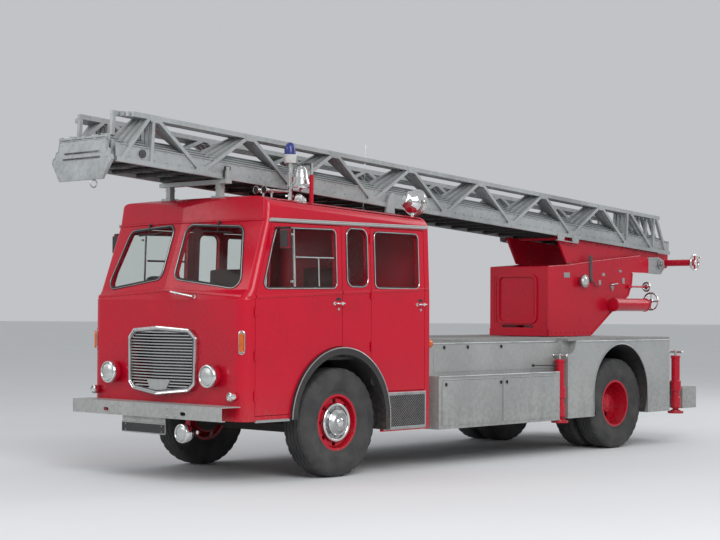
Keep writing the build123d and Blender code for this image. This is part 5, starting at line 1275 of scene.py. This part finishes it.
# Tail: round red stop lamps and reflectors in plated bezels, a blank plate with its lamp, and
# rolled chequers between two bright edges on the step.
tail_x = -6.45
tail_lamps = [(facing((tail_x, side * y, 0.56), (-1, 0, 0)), radius) for side in (-1, 1)
              for y, radius in ((0.98, 0.045), (0.86, 0.045), (0.74, 0.03))]
for place, radius in tail_lamps:
    lathe([(radius, 0.006), (radius * 0.95, 0.02), (radius * 0.6, 0.028), (0, 0.031)], place, 32)
finish("tail_lenses", "window_glass", plain_plastic("red_lens", (0.45, 0.01, 0.012), 0.16))
for place, radius in tail_lamps:
    lathe([(radius * 1.18, 0), (radius * 1.16, 0.008), (radius, 0.01), (radius * 0.98, 0.004)],
          place, 32)
for x in (-6.445, -6.14):
    strip([(x, y, 0.67) for y in (-1.115, 1.115)], (0, 0, 1), 0.01, 0.003)
strip([(tail_x, y, z) for y, z in box(0.26, 0.055, 0, 0.507)], (-1, 0, 0), 0.012, 0.006, True)
finish("tail_bezels", "bright_metal")
slab((-6.453, -0.26, 0.452), (-6.449, 0.26, 0.562), 0.001, 1)
slab((-6.47, -0.05, 0.572), (-6.448, 0.05, 0.6), 0.005)
finish("tail_plate", "dark_trim")
for row in range(6):
    for column in range(-22, 23):
        chequer((-6.16 - row * 0.05, column * 0.049, 0.6698), 1 if (row + column) % 2 else -1,
                (0.014, 0.006), (0.002, 0.005), 0.002)
finish("step_chequers", "silver_paint", finishes["deck_plate"])

# Seats: leathercloth cushions and backs with piped edges on painted steel boxes, two in front and
# a bench across the back of the cab.
seat_boxes = (
    # low corner, high corner
    ((-0.15, 0.39, 1.16), (0.33, 1, 1.5)), ((-0.15, -1, 1.16), (0.33, -0.39, 1.5)),
    ((-1.23, -0.98, 0.89), (-0.81, 0.98, 1.19)), ((-1.23, 0.48, 0.8), (-0.81, 0.98, 0.89)),
    ((-1.23, -0.98, 0.8), (-0.81, -0.48, 0.89)),
)
pads = (
    # name, low corner, high corner, the axis that it bulges along
    ("seat_cushion_left", (-0.145, 0.395, 1.5), (0.35, 0.995, 1.59), 2),
    ("seat_cushion_right", (-0.145, -0.995, 1.5), (0.35, -0.395, 1.59), 2),
    ("seat_back_left", (-0.24, 0.395, 1.505), (-0.15, 0.995, 2.02), 0),
    ("seat_back_right", (-0.24, -0.995, 1.505), (-0.15, -0.395, 2.02), 0),
    ("bench_cushion", (-1.228, -0.975, 1.19), (-0.79, 0.975, 1.27), 2),
    ("bench_back", (-1.24, -0.975, 1.275), (-1.15, 0.975, 1.8), 0),
)
for low, high in seat_boxes:
    slab(low, high, 0.008)
finish("seat_boxes", "chassis_black", stand_for=("seats",))


def cushion(low, high, bulge_axis):
    """A stuffed pad: a block whose edges are rounded and whose broad faces swell between seams."""
    centre = [(a + b) / 2 for a, b in zip(low, high)]
    half = [(b - a) / 2 for a, b in zip(low, high)]
    first, second = [axis for axis in range(3) if axis != bulge_axis]
    across, along = [max(8, int(half[axis] / 0.03)) for axis in (first, second)]
    seam_count = max(2, round(half[second] / 0.1))
    grid = {}
    for face in (-1, 1):
        for i in range(across + 1):
            for j in range(along + 1):
                u, v = 2 * i / across - 1, 2 * j / along - 1
                edge = (1 - u ** 8) * (1 - v ** 8)
                seam = 0.1 * (0.5 + 0.5 * cos(pi * v * seam_count)) ** 6
                point = list(centre)
                point[first] += half[first] * u * (0.985 + 0.015 * (1 - abs(v) ** 6))
                point[second] += half[second] * v * (0.985 + 0.015 * (1 - abs(u) ** 6))
                point[bulge_axis] += face * half[bulge_axis] * (0.42 + 0.52 * edge ** 0.5
                                                                - seam * edge)
                grid[face, i, j] = bm.verts.new(point)
        for i in range(across):
            for j in range(along):
                bm.faces.new([grid[face, k, m] for k, m in (
                    (i, j), (i + 1, j), (i + 1, j + 1), (i, j + 1))])
    rim = ([(i, 0) for i in range(across)] + [(across, j) for j in range(along)]
           + [(i, along) for i in range(across, 0, -1)] + [(0, j) for j in range(along, 0, -1)])
    for (i, j), (k, m) in zip(rim, rim[1:] + rim[:1]):
        bm.faces.new((grid[-1, i, j], grid[-1, k, m], grid[1, k, m], grid[1, i, j]))
    rod([(grid[1, i, j].co + grid[-1, i, j].co) / 2 for i, j in rim], 0.006, 6, True)


for name, low, high, bulge_axis in pads:
    cushion(low, high, bulge_axis)
    pad = finish(name, "seat_leather", smooth=60)

# Controls: the moulded steering wheel rim with its horn push, three dials in bright bezels before
# the driver, and the gear and brake levers beside the engine cowl.
wheel_axis = Vector((-0.469472, 0, 0.882948))
wheel_place = facing(Vector((0.7, -0.64, 1.8)) + wheel_axis * 0.012, wheel_axis, (0, 1, 0))
ring(wheel_place, 0.227, 0.0185, 72, 12)
grips = [2 * pi * (k + 0.5) / 36 for k in range(36)]
studs([(0.004, -0.006), (0.004, 0.006)],
      [wheel_place @ Vector((0.2435 * cos(angle), 0.2435 * sin(angle), 0)) for angle in grips],
      wheel_axis, 6)
lathe([(0.044, -0.014), (0.046, 0.006), (0.04, 0.018), (0, 0.022)], wheel_place, 32)
finish("steering_rim", "dark_trim", body="hand_steering")
lathe([(0.024, 0.018), (0.024, 0.026), (0.018, 0.031), (0, 0.032)], wheel_place, 28)
finish("horn_push", "bright_metal", body="hand_steering")
dials = [(facing((0.928, y, 1.565), (-0.9363, 0, -0.3511)), radius)
         for y, radius in ((-0.8, 0.04), (-0.64, 0.055), (-0.48, 0.04))]
for place, radius in dials:
    lathe([(radius, -0.004), (radius * 1.12, 0.004), (radius * 1.08, 0.012), (radius, 0.012),
           (radius * 0.96, 0.006)], place, 36)
    for k in range(9):
        angle = radians(225 - 33.75 * k)
        rod([place @ Vector((radius * r * cos(angle), radius * r * sin(angle), 0.0065))
             for r in (0.78, 0.92)], 0.001, 4)
    rod([place @ Vector((radius * x, radius * y, 0.0072)) for x, y in ((0, 0), (0.3, 0.6))], 0.0012,
        4)
finish("dial_bezels", "bright_metal")
for place, radius in dials:
    lathe([(radius * 0.98, 0.004), (0, 0.006)], place, 36)
finish("dial_faces", "dark_trim")
rod([(0.26, -0.3, 1.396), (0.27, -0.31, 1.56), (0.31, -0.36, 1.72)], 0.011)
lathe(ball(0.024), Matrix.Translation((0.312, -0.362, 1.738)), 16)
lathe([(0.07, 0), (0.06, 0.02), (0.03, 0.048), (0.014, 0.056)],
      Matrix.Translation((0.26, -0.3, 1.398)), 24)
rod([(0.48, -0.32, 1.396), (0.42, -0.32, 1.62)], 0.01)
finish("levers", "dark_trim")

# Door linings: padded panels covered in dark rubbercloth, each with a plated winder on its spindle
# and a pull strap fixed at both ends.
linings = (
    # door, panel's middle x and z, its half width and half height, winder's x
    ("front", 0.585, 1.5, 0.495, 0.2, 0.3), ("rear", -0.81, 1.3, 0.36, 0.44, -0.7),
)
for hand, side in sides:
    for door, x, z, half_width, half_height, winder_x in linings:
        prism(rounded(box(half_width, half_height), 0.05),
              facing((x, side * 1.0595, z), (0, -side, 0)), 0.008, 0.003)
        finish(f"{door}_lining_{hand}", "dark_trim", seal_rubber, f"{door}_door_{hand}")
        y, strap_x = side * 1.05, winder_x - 0.2
        place = facing((winder_x, y, 1.56), (0, -side, 0))
        lathe([(0.022, 0), (0.02, 0.008), (0.01, 0.01), (0, 0.011)], place, 20)
        rod([place @ Vector((0, 0, 0.012)), place @ Vector((0.09, 0, 0.022))], 0.006, 8)
        rod([(strap_x, y, 1.62), (strap_x, y - side * 0.03, 1.6), (strap_x, y - side * 0.03, 1.48),
             (strap_x, y, 1.46)], 0.007, 8)
        finish(f"{door}_winder_{hand}", "bright_metal", body=f"{door}_door_{hand}")

bpy.context.view_layer.update()
